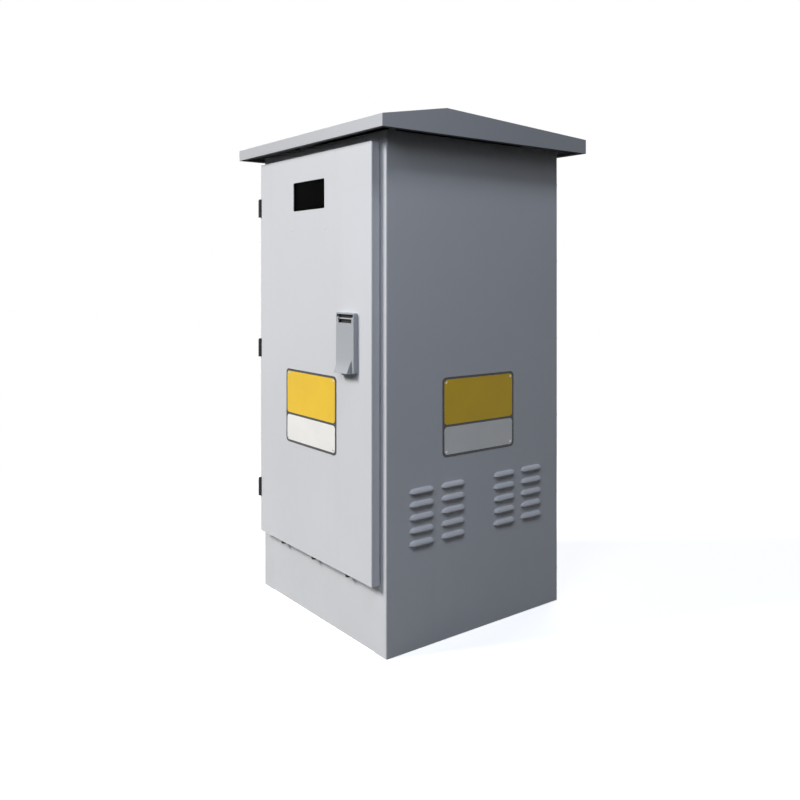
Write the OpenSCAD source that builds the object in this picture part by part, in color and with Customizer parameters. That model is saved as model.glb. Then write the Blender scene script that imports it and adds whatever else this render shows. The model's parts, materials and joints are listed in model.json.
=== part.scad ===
// Roadside utility cabinet: a folded steel body with louvred sides and an overhanging roof,
// an overlay door with a viewing window and a rod lock, and the switchgear that it holds.
// Origin at the middle of the ground plane, +Z up, the door facing -Y. Millimetres.

/* [Body] */
// Width of the body across the front
body_w = 600; // [560:10:760]
// Depth of the body from front to back
body_d = 600; // [560:10:760]
// Height from the ground to the upper face of the top plate
body_h = 1256; // [1250:1:1262]
// Thickness of the body's sheet
sheet = 2; // [1.5:0.1:2.5]
// Radius of the folds, at the middle of the sheet
bend_r = 3; // [2:0.5:5]
// Width of the frame strip from the body's side to the door opening
frame_w = 50; // [48:1:60]
// Height of the rain lip that stands forward around the opening
rain_lip = 12; // [9:0.5:14]
// Width of the flange that stands on the ground
base_flange = 50; // [42:1:70]
// Width of the folded flange at the back of each side
back_flange = 26; // [22:1:40]
// Height of the floor's upper face
floor_z = 152; // [130:1:160]

/* [Anchors] */
// Radius of each anchor hole
anchor_r = 7; // [5:0.5:9]
// Distance between the anchor holes from left to right
anchor_x = 550; // [545:1:552]
// Distance between the anchor holes from front to back
anchor_y = 480; // [400:10:520]

/* [Louvres] */
// Length of a louvre
louvre_l = 78; // [60:1:86]
// Height of a louvre
louvre_h = 16; // [12:0.5:20]
// How far a louvre bulges out of the side
louvre_out = 8; // [6:0.5:10]
// Distance between rows
louvre_pitch = 31.6; // [26:0.2:40]
// Number of rows
louvre_rows = 5; // [1:1:7]
// Height of the lowest mouth above the ground
louvre_z = 250; // [240:1:300]
// Distance from the middle of the side to the middle of a pair of columns
louvre_pair_y = 141; // [136:1:150]
// Distance between the two columns of a pair
louvre_col = 102; // [94:1:110]

/* [Roof] */
// Overhang at the left and right
roof_side = 57; // [40:1:80]
// Overhang at the front and back
roof_end = 54; // [50:1:80]
// How far the fascia hangs below the top plate
roof_drop = 6; // [4:1:10]
// Height of the front fascia
fascia_front = 30; // [24:1:40]
// Height of the rear fascia
fascia_rear = 39; // [30:1:45]
// Height of the ridge above the foot of the fascia
ridge_h = 65; // [55:1:80]
// Distance of the ridge behind the roof's front edge
ridge_y = 195; // [150:5:300]
// Width of the return folded in under the fascia
roof_return = 14; // [8:1:20]

/* [Door] */
// Width of the frame strip left showing beside the door
door_margin = 23; // [21:0.5:26]
// Height of the door's lower edge above the ground
door_z = 170; // [164:1:176]
// Height of the door
door_h = 1060; // [1050:1:1066]
// How far the door's face stands in front of the body
door_t = 26; // [25:0.5:28]
// Gap between the door's returns and the frame
door_gap = 3; // [2:0.5:5]
// How far the door laps over the opening at the top and bottom
door_lap = 26; // [24:0.5:30]
// Thickness of the door's sheet
door_sheet = 2; // [1.5:0.1:2.5]
// Width of the door's foam gasket
gasket_w = 14; // [10:0.5:18]

/* [Window] */
// Width of the cut-out
window_w = 156; // [120:2:158]
// Height of the cut-out
window_h = 77; // [60:1:90]
// Corner radius of the cut-out
window_r = 4; // [2:0.5:10]
// Place of the window's middle from the door's middle
window_x = -10; // [-14:1:-6]
// Height of the window's middle above the door's lower edge
window_z = 952.5; // [930:0.5:965]
// Thickness of the pane
pane_t = 3; // [2:0.5:5]

/* [Hinges] */
// Height of a hinge
hinge_h = 50; // [40:1:70]
// Radius of the barrel
barrel_r = 6; // [5.5:0.25:6.5]
// Radius of the pin
hinge_pin_r = 2.5; // [2:0.25:3]
// Distance of the outer hinges from the middle one
hinge_span = 404; // [300:2:430]
// Thickness of the leaves
leaf_t = 3; // [2:0.25:3.5]

/* [Lock] */
// Place of the lock from the door's middle
lock_x = 180; // [172:1:184]
// Height of the lock's middle above the door's lower edge
lock_z = 575; // [540:1:600]
// Width of the rain cover
lock_w = 77; // [70:1:84]
// Height of the rain cover
lock_h = 148; // [140:1:160]
// How far the shut cover stands in front of the door
lock_t = 12; // [11:0.5:14]
// Radius of the flap's pin
flap_pin_r = 2; // [1.5:0.25:2.5]
// Reach of the finger lip in front of the flap
grip_out = 13; // [8:0.5:14]
// Radius of the lock's barrel
cylinder_r = 10; // [9:0.5:11]
// Length of the cam from the lock's axis
cam_l = 86; // [82:1:96]
// Distance of the drive pins from the lock's axis
drive_r = 14; // [12:0.5:15]
// Width of the rods
rod_w = 16; // [12:0.5:17]
// Thickness of the rods
rod_t = 3; // [2:0.25:4]

/* [Mounting plate] */
// Width of the plate
plate_w = 500; // [470:5:520]
// Height of the plate
plate_h = 960; // [940:5:970]
// Height of the plate's lower edge above the floor
plate_z = 78; // [60:1:90]
// Length of the stand-offs behind the plate
standoff = 58; // [40:1:80]

/* [Switchgear] */
// Width of the meter
meter_w = 130; // [120:1:150]
// Height of the meter
meter_h = 180; // [170:1:190]
// Depth of the meter's case
meter_d = 46; // [36:1:60]
// Width of the main breaker
main_w = 105; // [90:1:130]
// Height of the main breaker
main_h = 165; // [150:1:190]
// Depth of the main breaker
main_d = 82; // [70:1:100]
// Width of one pole of a branch breaker
pole_w = 18; // [17.5:0.1:18.5]
// Depth of a branch breaker
branch_d = 66; // [56:1:75]
// Height of a branch breaker
branch_h = 84; // [80:1:90]
// Length of the mounting rails
rail_l = 420; // [380:5:440]
// Number of terminals in the strip
terminals = 14; // [6:1:18]

/* [Cable glands] */
// Radius of the cable passage in each gland
gland_bore = 9; // [6:0.5:11]
// Distance between the glands
gland_pitch = 90; // [70:1:110]

/* [Hidden] */
$fn = 64;

// Colours
paint = [0.78, 0.79, 0.80];
dark_paint = [0.10, 0.10, 0.11];
zinc = [0.72, 0.73, 0.74];
steel = [0.60, 0.61, 0.63];
black = [0.05, 0.05, 0.055];
casing = [0.22, 0.23, 0.25];
pale_plastic = [0.83, 0.83, 0.80];
clear = [0.55, 0.62, 0.62, 0.5];
copper = [0.72, 0.48, 0.30];

// Shared clearances
overrun = 1;
running = 0.05;
slack = 0.3;
free_gap = 1;
reach_share = 2;

// Body planes
half_w = body_w / 2;
half_d = body_d / 2;
front_y = -half_d;
panel_top = body_h - sheet;
open_r = half_w - frame_w;
open_b = door_z + door_lap;
open_t = door_z + door_h - door_lap;
back_y = half_d - sheet;
inner_back = back_y - sheet;
side_path = [
    [half_w - back_flange, half_d - sheet / 2],
    [half_w - sheet / 2, half_d - sheet / 2],
    [half_w - sheet / 2, front_y + sheet / 2],
    [open_r, front_y + sheet / 2]
];

// Louvre section: a round of this radius whose axis lies inside the sheet
louvre_r = (louvre_h * louvre_h / louvre_out + louvre_out) / 2;
louvre_sink = louvre_r - louvre_out;
louvre_field = 2 * louvre_pair_y + louvre_col + louvre_l;
filter_edge = 10;
filter_t = 6;

// Rivets along the back flanges
rivet_r = 2.4;
rivet_head_r = 4.5;
rivet_head_t = 1.2;
rivets = 6;
rivet_end = 90;
rivet_x = half_w - back_flange / 2 - sheet / 2;

// Roof planes; the slopes are rises for each millimetre from front to back
roof_foot = body_h - roof_drop;
roof_x = half_w + roof_side;
roof_y = half_d + roof_end;
roof_d = 2 * roof_y;
front_slope = (ridge_h - fascia_front) / ridge_y;
rear_slope = (ridge_h - fascia_rear) / (roof_d - ridge_y);
front_skin = sheet * norm([1, front_slope]);
rear_skin = sheet * norm([1, rear_slope]);
inner_ridge = (fascia_rear - rear_skin - fascia_front + front_skin + rear_slope * roof_d)
    / (front_slope + rear_slope);
spacer_inset = 70;
spacer_x = half_w - spacer_inset;
spacer_y = half_d - spacer_inset;
spacer_r = 9;
bolt_r = 4;
bolt_head_r = 7.5;
bolt_head_t = 5.5;
bolt_grip = 20;
vent_l = 160;
vent_w = 8;
vent_pitch = 24;
vents = 9;
vent_place_share = 0.667;

// Floor and cable entry
floor_flange = 25;
entry_w = 300;
entry_d = 130;
entry_y = 40;
entry_edge = 22;
gland_body_r = 17;
gland_hex_r = 20;
gland_nose_r = 13;
gland_thread_r = 12.5;
gland_body_h = 16;
gland_nose_h = 12;
gland_thread_h = 10;
gland_nut_r = 18;
gland_nut_h = 6;
glands = 3;

// Mounting plate
plate_return = 16;
plate_y = inner_back - standoff;
plate_front = plate_y - sheet;
plate_foot = floor_z + plate_z;
post_r = 8;
post_inset = 40;
stud_r = 4;
stud_nut_r = 7.5;
stud_nut_t = 6.5;

// Door planes
door_x = half_w - door_margin;
door_top = door_z + door_h;
door_y = front_y - door_t;
skin_y = door_y + door_sheet;
door_back = front_y - door_gap;
door_mid = door_z + door_h / 2;
door_path = [
    [-door_x + door_sheet / 2, door_back],
    [-door_x + door_sheet / 2, door_y + door_sheet / 2],
    [door_x - door_sheet / 2, door_y + door_sheet / 2],
    [door_x - door_sheet / 2, door_back]
];
gasket_face = front_y - rain_lip - slack;
stiffener_w = 24;
stiffener_brim = 9;
stiffener_d = 14;
stiffener_sheet = 1.5;
stiffener_x = [-170, 106];
stiffener_end = 60;
drain_r = 7;
drain_bore = 3;
drain_neck = 5;
drain_drop = 10;
drain_top = 3;
drain_pitch = 160;
drain_y = (door_y + door_back) / 2;

// Window
glass_lap = 12;
seal_t = 2;
retainer_lap = 6;
retainer_t = 1.5;
window_mid = door_z + window_z;
window_stud_r = 2;
window_nut_r = 4;
window_nut_t = 3;
window_stud_inset = 6;
retainer_w = window_w + 2 * glass_lap + 2 * window_stud_inset;
retainer_h = window_h + 2 * glass_lap;

// Hinges: the pin stands on the door's front left edge
hinge_x = -door_x;
hinge_y = door_y;
notch_gap = 1.5;
notch = barrel_r + notch_gap;
knuckle_share = 0.44;
knuckle_gap = 0.4;
door_knuckle = hinge_h * knuckle_share;
pin_head_r = 4.5;
pin_head_t = 2.5;
foot_edge = 3;

// Lock: planes from the door's face outwards, then inwards
lock_mid = door_z + lock_z;
base_floor = 3;
base_wall = 3;
flap_t = 3;
lock_corner = 4;
cover_y = door_y - lock_t;
flap_y = cover_y + flap_t;
floor_y = door_y - base_floor;
lock_foot = lock_mid - lock_h / 2;
lock_head = lock_mid + lock_h / 2;
bridge_h = 4;
slot_h = 21;
slot_foot = lock_head - bridge_h - slot_h;
pin_z = slot_foot + slot_h / 2;
lug_w = 6;
eye_r = 3.5;
pin_y = cover_y + eye_r;
lug_gap = 0.5;
grip_h = 34;
grip_w = 58;
grip_t = 2.5;
pad_t = 1;
collar_r = 13;
collar_t = 2;
nut_r = 15.5;
nut_t = 5;
plug_r = 6;
shank = 8;
key_w = 1.8;
key_h = 8;
key_d = 6;
cam_t = 3;
cam_gap = 2;
cam_y = front_y + sheet + cam_gap;
cam_hub_r = 18;
cam_w = 24;
cam_back = cam_y + cam_t;
screw_r = 2;
screw_head_r = 6;
screw_head_t = 2.5;
rod_gap = 1;
rod_y = cam_back + screw_head_t + rod_gap;
drive_pin_r = 2.5;
drive_rest = 45;
foot_wall = 3;
foot_play = 0.8;
rod_off = drive_r * (1 + cos(drive_rest)) / 2;
foot_half = drive_r * (1 - cos(drive_rest)) / 2 + drive_pin_r + slack;
drive_rise = drive_r * sin(drive_rest);
rod_end_gap = 4;
rod_end_h = 26;
rod_nose = 6;
rod_end_y = front_y + sheet + free_gap;
guide_side = 6;
guide_w = rod_w + 2 * guide_side;
guide_h = 14;
guide_wall = 3;
guide_shares = [0.28, 0.82];
upper_l = open_t - rod_end_gap - lock_mid;
lower_l = lock_mid - open_b - rod_end_gap;

// Switchgear
meter_x = window_x;
display_up = 122;
meter_foot = window_mid - display_up;
meter_corner = 8;
cover_edge = 4;
cover_foot = 62;
cover_t = 18;
display_w = 74;
display_h = 34;
display_t = 2;
display_z = window_mid;
button_r = 4.5;
button_across = 40;
button_down = 38;
button_x = meter_x + button_across;
button_z = window_mid - button_down;
button_out = 2;
button_flange_r = 6.5;
button_flange_t = 2;
button_well = 6;
main_x = -120;
main_up = 590;
main_foot = floor_z + main_up;
rail_up = [460, 270];
rail_z = [for (up = rail_up) floor_z + up];
rail_h = 35;
rail_lip = 5;
rail_d = 7.5;
rail_sheet = 1;
rail_front = plate_front - rail_d;
poles = 3;
branch_x = [-70, 10];
drum_r = 9;
drum_sink = 3;
lever_l = 9;
lever_t = 5;
lever_tilt = 20;
main_lever_w = 34;
branch_lever_w = 40;
main_drum_z = main_foot + main_h / 2;
branch_drum_z = rail_z[0];
terminal_w = 12;
terminal_h = 48;
terminal_d = 40;
terminal_slot = 2;
bar_l = 260;
bar_h = 20;
bar_t = 5;
bar_up = 140;
bar_z = floor_z + bar_up;
bar_post_r = 11;
bar_post_l = 30;
bar_screws = 9;
bar_screw_r = 4;
bar_screw_t = 3;

// Helpers

// Solid that runs from y0 to y1, its outline drawn in X and Z
module through_y(y0, y1) {
    translate([0, y1, 0])
        rotate([90, 0, 0])
            linear_extrude(y1 - y0) children();
}

// Solid that runs from x0 to x1, its outline drawn in Y and Z
module through_x(x0, x1) {
    translate([x0, 0, 0])
        rotate([90, 0, 90])
            linear_extrude(x1 - x0) children();
}

// Box between two corners
module box(low, high) {
    translate(low) cube(high - low);
}

module rounded(w, h, r) {
    square([w - 2 * r, h], center = true);
    square([w, h - 2 * r], center = true);
    for (x = [-1, 1], y = [-1, 1])
        translate([x * (w / 2 - r), y * (h / 2 - r)]) circle(r);
}

function unit(v) = v / norm(v);

function turn_at(p, i) =
    let (a = unit(p[i] - p[i - 1]), b = unit(p[i + 1] - p[i]))
    atan2(cross(a, b), a * b);

function set_back(p, i, r) =
    (i == 0 || i == len(p) - 1) ? 0 : r * tan(abs(turn_at(p, i)) / 2);

// Section of a folded sheet along the path p, with round folds
module folded(p, t, r) {
    for (i = [0:len(p) - 2]) {
        d = unit(p[i + 1] - p[i]);
        first = set_back(p, i, r);
        last = set_back(p, i + 1, r);
        translate(p[i] + d * first)
            rotate(atan2(d[1], d[0]))
                translate([0, -t / 2])
                    square([norm(p[i + 1] - p[i]) - first - last, t]);
    }
    for (i = [1:len(p) - 2]) fold(p, i, t, r);
}

module fold(p, i, t, r) {
    d0 = unit(p[i] - p[i - 1]);
    d1 = unit(p[i + 1] - p[i]);
    back = set_back(p, i, r);
    start = p[i] - d0 * back;
    c = start + sign(turn_at(p, i)) * r * [-d0[1], d0[0]];
    intersection() {
        translate(c) difference() {
            circle(r + t / 2);
            circle(r - t / 2);
        }
        polygon([
            c,
            c + reach_share * (start - c),
            c + reach_share * (p[i] - c),
            c + reach_share * (p[i] + d1 * back - c)
        ]);
    }
}

// Three points along the fold at corner i of the path p
function fold_points(p, i, r) =
    let (
        d = unit(p[i] - p[i - 1]),
        start = p[i] - d * set_back(p, i, r),
        c = start + sign(turn_at(p, i)) * r * [-d[1], d[0]]
    )
    [start, c + r * unit(p[i] - c), p[i] + unit(p[i + 1] - p[i]) * set_back(p, i, r)];

// Area that a folded sheet along the path p closes in, up to the middle of its thickness
module enclosed(p, r) {
    last = len(p) - 1;
    polygon([
        p[0],
        for (i = [1:last - 1], q = fold_points(p, i, r)) q,
        p[last]
    ]);
}

module hexagon(r) {
    circle(r, $fn = 6);
}

// Body

module capsule_y(l, r) {
    rotate([90, 0, 0]) cylinder(h = l, r = r, center = true);
    for (s = [-1, 1]) translate([0, s * l / 2, 0]) sphere(r);
}

// One louvre at the height of its mouth; the hood when whole, its hollow when not
module louvre(r, depth) {
    intersection() {
        translate([half_w - louvre_sink, 0, 0]) capsule_y(louvre_l - 2 * louvre_h, r);
        box([half_w - depth, -louvre_l, 0], [half_w + louvre_out + overrun, louvre_l, louvre_r]);
    }
}

module at_louvres() {
    for (row = [0:louvre_rows - 1], pair = [-1, 1], col = [-1, 1])
        translate([
            0,
            pair * louvre_pair_y + col * louvre_col / 2,
            louvre_z + row * louvre_pitch
        ]) children();
}

module at_rivets() {
    for (i = [0:rivets - 1])
        translate([rivet_x, 0, rivet_end + i * (panel_top - 2 * rivet_end) / (rivets - 1)])
            children();
}

module side_panel() {
    difference() {
        union() {
            linear_extrude(panel_top) folded(side_path, sheet, bend_r);
            box(
                [half_w - base_flange, front_y + sheet / 2, 0],
                [half_w - sheet / 2, half_d - sheet / 2, sheet]
            );
            box(
                [open_r, front_y - rain_lip, open_b - sheet],
                [open_r + sheet, front_y + sheet, open_t + sheet]
            );
            at_louvres() louvre(louvre_r, sheet / 2);
        }
        at_louvres() louvre(louvre_r - sheet, sheet + overrun);
        for (s = [-1, 1])
            translate([anchor_x / 2, s * anchor_y / 2, -overrun])
                cylinder(h = sheet + 2 * overrun, r = anchor_r);
        at_rivets() through_y(back_y - overrun, half_d + overrun) circle(rivet_r + running);
    }
}

module right_side_panel() {
    color(paint) side_panel();
}

module left_side_panel() {
    color(paint) mirror([1, 0, 0]) side_panel();
}

module back_panel() {
    edge = half_w - sheet - bend_r;
    color(paint) difference() {
        box([-edge, inner_back, sheet], [edge, back_y, panel_top]);
        for (s = [0, 1]) mirror([s, 0, 0])
            at_rivets() through_y(inner_back - overrun, back_y + overrun) circle(rivet_r + running);
    }
}

module back_rivets() {
    color(paint) for (s = [0, 1]) mirror([s, 0, 0]) at_rivets() {
        through_y(half_d, half_d + rivet_head_t) circle(rivet_head_r);
        through_y(inner_back, half_d + rivet_head_t / 2) circle(rivet_r);
        through_y(inner_back - rivet_head_t, inner_back) circle((rivet_head_r + rivet_r) / 2);
    }
}

module plinth_panel() {
    color(paint) through_x(-open_r, open_r) folded([
        [front_y + base_flange, sheet / 2],
        [front_y + sheet / 2, sheet / 2],
        [front_y + sheet / 2, open_b - sheet / 2],
        [front_y - rain_lip, open_b - sheet / 2]
    ], sheet, bend_r);
}

module header_rail() {
    color(paint) through_x(-open_r, open_r) folded([
        [front_y - rain_lip, open_t + sheet / 2],
        [front_y + sheet / 2, open_t + sheet / 2],
        [front_y + sheet / 2, panel_top - sheet / 2],
        [front_y + base_flange, panel_top - sheet / 2]
    ], sheet, bend_r);
}

module at_spacers() {
    for (x = [-1, 1], y = [-1, 1]) translate([x * spacer_x, y * spacer_y, 0]) children();
}

module top_plate() {
    color(paint) difference() {
        box([-half_w, front_y, panel_top], [half_w, half_d, body_h]);
        at_spacers() translate([0, 0, panel_top - overrun])
            cylinder(h = sheet + 2 * overrun, r = bolt_r + slack);
        for (i = [0:vents - 1], s = [-1, 1])
            translate([
                s * vent_l * vent_place_share,
                (i - (vents - 1) / 2) * vent_pitch,
                panel_top - overrun
            ]) linear_extrude(sheet + 2 * overrun) rounded(vent_l, vent_w, vent_w / 2 - running);
    }
}

// Roof

module roof_outline() {
    translate([-roof_y, roof_foot]) polygon([
        [0, 0],
        [0, fascia_front],
        [ridge_y, ridge_h],
        [roof_d, fascia_rear],
        [roof_d, 0]
    ]);
}

module roof_hollow() {
    translate([-roof_y, roof_foot]) polygon([
        [sheet, sheet],
        [sheet, fascia_front + front_slope * sheet - front_skin],
        [inner_ridge, fascia_front + front_slope * inner_ridge - front_skin],
        [roof_d - sheet, fascia_rear + rear_slope * sheet - rear_skin],
        [roof_d - sheet, sheet]
    ]);
}

module roof() {
    open_x = roof_x - roof_return;
    open_y = roof_y - roof_return;
    color(paint) difference() {
        through_x(-roof_x, roof_x) roof_outline();
        through_x(-roof_x + sheet, roof_x - sheet) roof_hollow();
        box([-open_x, -open_y, roof_foot - overrun], [open_x, open_y, roof_foot + sheet + overrun]);
    }
}

// Sleeves between the top plate and the sloping sheet
module roof_spacers() {
    color(zinc) difference() {
        intersection() {
            at_spacers() translate([0, 0, body_h]) cylinder(h = ridge_h, r = spacer_r);
            through_x(-roof_x, roof_x) roof_hollow();
        }
        at_spacers() translate([0, 0, body_h - overrun])
            cylinder(h = bolt_grip + overrun, r = bolt_r + running);
    }
}

module roof_bolts() {
    color(steel) at_spacers() translate([0, 0, panel_top]) {
        cylinder(h = sheet + bolt_grip - free_gap, r = bolt_r);
        translate([0, 0, -bolt_head_t]) linear_extrude(bolt_head_t) hexagon(bolt_head_r);
    }
}

// Floor and cable entry

module floor_plate() {
    edge = half_w - sheet;
    foot = floor_z - floor_flange;
    color(zinc) difference() {
        box([-edge, front_y + sheet, foot], [edge, inner_back, floor_z]);
        box(
            [-edge + sheet, front_y + 2 * sheet, foot - overrun],
            [edge - sheet, inner_back - sheet, floor_z - sheet]
        );
        box(
            [-entry_w / 2, entry_y, floor_z - sheet - overrun],
            [entry_w / 2, entry_y + entry_d, floor_z + overrun]
        );
        for (s = [0, 1]) mirror([s, 0, 0]) box(
            [edge - bend_r, front_y + sheet - overrun, foot - overrun],
            [edge + overrun, front_y + sheet + bend_r, floor_z + overrun]
        );
    }
}

module at_glands() {
    for (i = [0:glands - 1])
        translate([(i - (glands - 1) / 2) * gland_pitch, entry_y + entry_d / 2, floor_z])
            children();
}

module gland_plate() {
    color(zinc) difference() {
        translate([0, entry_y + entry_d / 2, floor_z])
            linear_extrude(sheet)
                rounded(entry_w + 2 * entry_edge, entry_d + 2 * entry_edge, entry_edge / 2);
        at_glands() translate([0, 0, -overrun])
            cylinder(h = sheet + 2 * overrun, r = gland_thread_r + slack);
    }
}

module cable_glands() {
    color(casing) at_glands() difference() {
        union() {
            translate([0, 0, -gland_body_h]) linear_extrude(gland_body_h) hexagon(gland_hex_r);
            translate([0, 0, -gland_body_h - gland_nose_h])
                cylinder(h = gland_nose_h, r1 = gland_nose_r, r2 = gland_body_r);
            cylinder(h = sheet + gland_thread_h, r = gland_thread_r);
        }
        translate([0, 0, -gland_body_h - gland_nose_h - overrun])
            cylinder(h = gland_body_h + gland_nose_h + sheet + gland_thread_h + 2 * overrun, r = gland_bore);
    }
}

module gland_locknuts() {
    color(casing) at_glands() translate([0, 0, sheet]) difference() {
        linear_extrude(gland_nut_h) hexagon(gland_nut_r);
        translate([0, 0, -overrun])
            cylinder(h = gland_nut_h + 2 * overrun, r = gland_thread_r + running);
    }
}

module vent_filter() {
    box(
        [half_w - sheet - filter_t, -louvre_field / 2 - filter_edge, louvre_z - filter_edge],
        [
            half_w - sheet,
            louvre_field / 2 + filter_edge,
            louvre_z + (louvre_rows - 1) * louvre_pitch + louvre_h + filter_edge
        ]
    );
}

module right_vent_filter() {
    color(casing) vent_filter();
}

module left_vent_filter() {
    color(casing) mirror([1, 0, 0]) vent_filter();
}

// Mounting plate

module at_posts() {
    for (x = [-1, 1], z = [post_inset, plate_h - post_inset])
        translate([x * (plate_w / 2 - post_inset), 0, plate_foot + z]) children();
}

module mounting_plate() {
    side = plate_w / 2 - sheet / 2;
    color(zinc) difference() {
        translate([0, 0, plate_foot]) linear_extrude(plate_h) folded([
            [-side, plate_front + plate_return],
            [-side, plate_front + sheet / 2],
            [side, plate_front + sheet / 2],
            [side, plate_front + plate_return]
        ], sheet, bend_r);
        at_posts() through_y(plate_front - overrun, plate_y + overrun) circle(stud_r + slack);
    }
}

module plate_standoffs() {
    color(zinc) at_posts() {
        through_y(plate_y, inner_back) circle(post_r);
        through_y(plate_front - stud_nut_t - free_gap, plate_y) circle(stud_r);
    }
}

module plate_nuts() {
    color(steel) at_posts() through_y(plate_front - stud_nut_t, plate_front) difference() {
        hexagon(stud_nut_r);
        circle(stud_r + running);
    }
}

// Door

module hinge_at(i) {
    translate([hinge_x, hinge_y, door_mid + i * hinge_span]) children();
}

module at_drains() {
    for (i = [-1:1]) translate([i * drain_pitch, drain_y, door_z]) children();
}

module at_window() {
    translate([window_x, 0, window_mid]) children();
}

module at_studs() {
    for (x = [-1, 1], z = [-1, 1])
        translate([x * (retainer_w / 2 - window_stud_inset), z * (retainer_h / 2 - window_stud_inset)])
            children();
}

module at_lock() {
    translate([lock_x, 0, lock_mid]) children();
}

module door_outline() {
    folded(door_path, door_sheet, bend_r);
    enclosed(door_path, bend_r);
}

module door_panel() {
    color(paint) difference() {
        union() {
            translate([0, 0, door_z]) linear_extrude(door_h) folded(door_path, door_sheet, bend_r);
            for (z = [door_z, door_top - door_sheet])
                translate([0, 0, z]) linear_extrude(door_sheet) door_outline();
        }
        at_window() through_y(door_y - overrun, skin_y + overrun) rounded(window_w, window_h, window_r);
        at_lock() through_y(door_y - overrun, skin_y + overrun) circle(cylinder_r + slack);
        for (i = [-1:1]) hinge_at(i) box(
            [-overrun, -overrun, -hinge_h / 2 - free_gap],
            [notch, notch, hinge_h / 2 + pin_head_t + free_gap]
        );
        at_drains() translate([0, 0, -overrun])
            cylinder(h = door_sheet + 2 * overrun, r = drain_neck + slack);
    }
}

module door_stiffeners() {
    z0 = open_b + stiffener_end;
    w = stiffener_w / 2;
    y0 = skin_y + stiffener_sheet / 2;
    y1 = skin_y + stiffener_d - stiffener_sheet / 2;
    color(paint) for (x = stiffener_x)
        translate([x, 0, z0]) linear_extrude(open_t - stiffener_end - z0) folded([
            [-w - stiffener_brim, y0],
            [-w, y0],
            [-w, y1],
            [w, y1],
            [w, y0],
            [w + stiffener_brim, y0]
        ], stiffener_sheet, stiffener_sheet);
}

module door_gasket() {
    mid_z = (open_t + open_b) / 2;
    w = 2 * open_r + sheet;
    h = open_t - open_b + sheet;
    color(black) translate([0, 0, mid_z]) through_y(skin_y, gasket_face) difference() {
        square([w + gasket_w, h + gasket_w], center = true);
        square([w - gasket_w, h - gasket_w], center = true);
    }
}

module door_drains() {
    color(black) at_drains() difference() {
        union() {
            translate([0, 0, -drain_drop]) cylinder(h = drain_drop, r = drain_r);
            cylinder(h = door_sheet, r = drain_neck);
            translate([0, 0, door_sheet]) cylinder(h = drain_top, r = drain_r);
        }
        translate([0, 0, -drain_drop - overrun])
            cylinder(h = drain_drop + door_sheet + drain_top + 2 * overrun, r = drain_bore);
    }
}

module window_seal() {
    color(black) at_window() through_y(skin_y, skin_y + seal_t) difference() {
        rounded(
            window_w + 2 * glass_lap - retainer_lap,
            window_h + 2 * glass_lap - retainer_lap,
            window_r
        );
        rounded(window_w + retainer_lap, window_h + retainer_lap, window_r);
    }
}

module window_pane() {
    y0 = skin_y + seal_t;
    color(clear) at_window() through_y(y0, y0 + pane_t) difference() {
        square([retainer_w, retainer_h], center = true);
        at_studs() circle(window_stud_r + slack);
    }
}

module window_retainer() {
    y0 = skin_y + seal_t + pane_t;
    color(zinc) at_window() through_y(y0, y0 + retainer_t) difference() {
        rounded(retainer_w, retainer_h, window_r);
        rounded(window_w + retainer_lap, window_h + retainer_lap, window_r);
        at_studs() circle(window_stud_r + slack);
    }
}

module window_nuts() {
    y0 = skin_y + seal_t + pane_t + retainer_t;
    color(steel) at_window() {
        through_y(skin_y, y0) at_studs() circle(window_stud_r);
        through_y(y0, y0 + window_nut_t) at_studs() hexagon(window_nut_r);
    }
}

// Hinges

module barrel(z0, z1) {
    translate([0, 0, z0]) difference() {
        cylinder(h = z1 - z0, r = barrel_r);
        translate([0, 0, -overrun])
            cylinder(h = z1 - z0 + 2 * overrun, r = hinge_pin_r + running);
    }
}

module frame_leaf() {
    z0 = -hinge_h / 2;
    z1 = door_knuckle / 2 + knuckle_gap;
    rear = front_y - hinge_y;
    foot_x = -half_w - hinge_x + foot_edge;
    color(dark_paint) union() {
        barrel(z0, -z1);
        barrel(z1, -z0);
        difference() {
            union() {
                box([-barrel_r, 0, z0], [-barrel_r + leaf_t, rear, -z0]);
                box([foot_x, rear - leaf_t, z0], [-barrel_r + leaf_t, rear, -z0]);
            }
            translate([0, 0, z0 - overrun])
                cylinder(h = hinge_h + 2 * overrun, r = hinge_pin_r + running);
            translate([0, 0, -z1]) cylinder(h = 2 * z1, r = barrel_r + slack);
        }
    }
}

module door_leaf() {
    z0 = hinge_h / 2;
    z1 = door_knuckle / 2;
    rear = door_back - hinge_y - door_gap;
    color(dark_paint) union() {
        barrel(-z1, z1);
        difference() {
            box([door_sheet, 0, -z0], [door_sheet + leaf_t, rear, z0]);
            translate([0, 0, -z0 - overrun])
                cylinder(h = hinge_h + 2 * overrun, r = hinge_pin_r + running);
            for (s = [0, 1]) mirror([0, 0, s])
                translate([0, 0, z1]) cylinder(h = hinge_h, r = barrel_r + slack);
        }
    }
}

module hinge_pin() {
    color(dark_paint) {
        translate([0, 0, -hinge_h / 2]) cylinder(h = hinge_h + pin_head_t / 2, r = hinge_pin_r);
        translate([0, 0, hinge_h / 2]) cylinder(h = pin_head_t, r = pin_head_r);
    }
}

module top_frame_leaf() { hinge_at(1) frame_leaf(); }
module top_door_leaf() { hinge_at(1) door_leaf(); }
module top_hinge_pin() { hinge_at(1) hinge_pin(); }
module middle_frame_leaf() { hinge_at(0) frame_leaf(); }
module middle_door_leaf() { hinge_at(0) door_leaf(); }
module middle_hinge_pin() { hinge_at(0) hinge_pin(); }
module bottom_frame_leaf() { hinge_at(-1) frame_leaf(); }
module bottom_door_leaf() { hinge_at(-1) door_leaf(); }
module bottom_hinge_pin() { hinge_at(-1) hinge_pin(); }

// Lock

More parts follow.
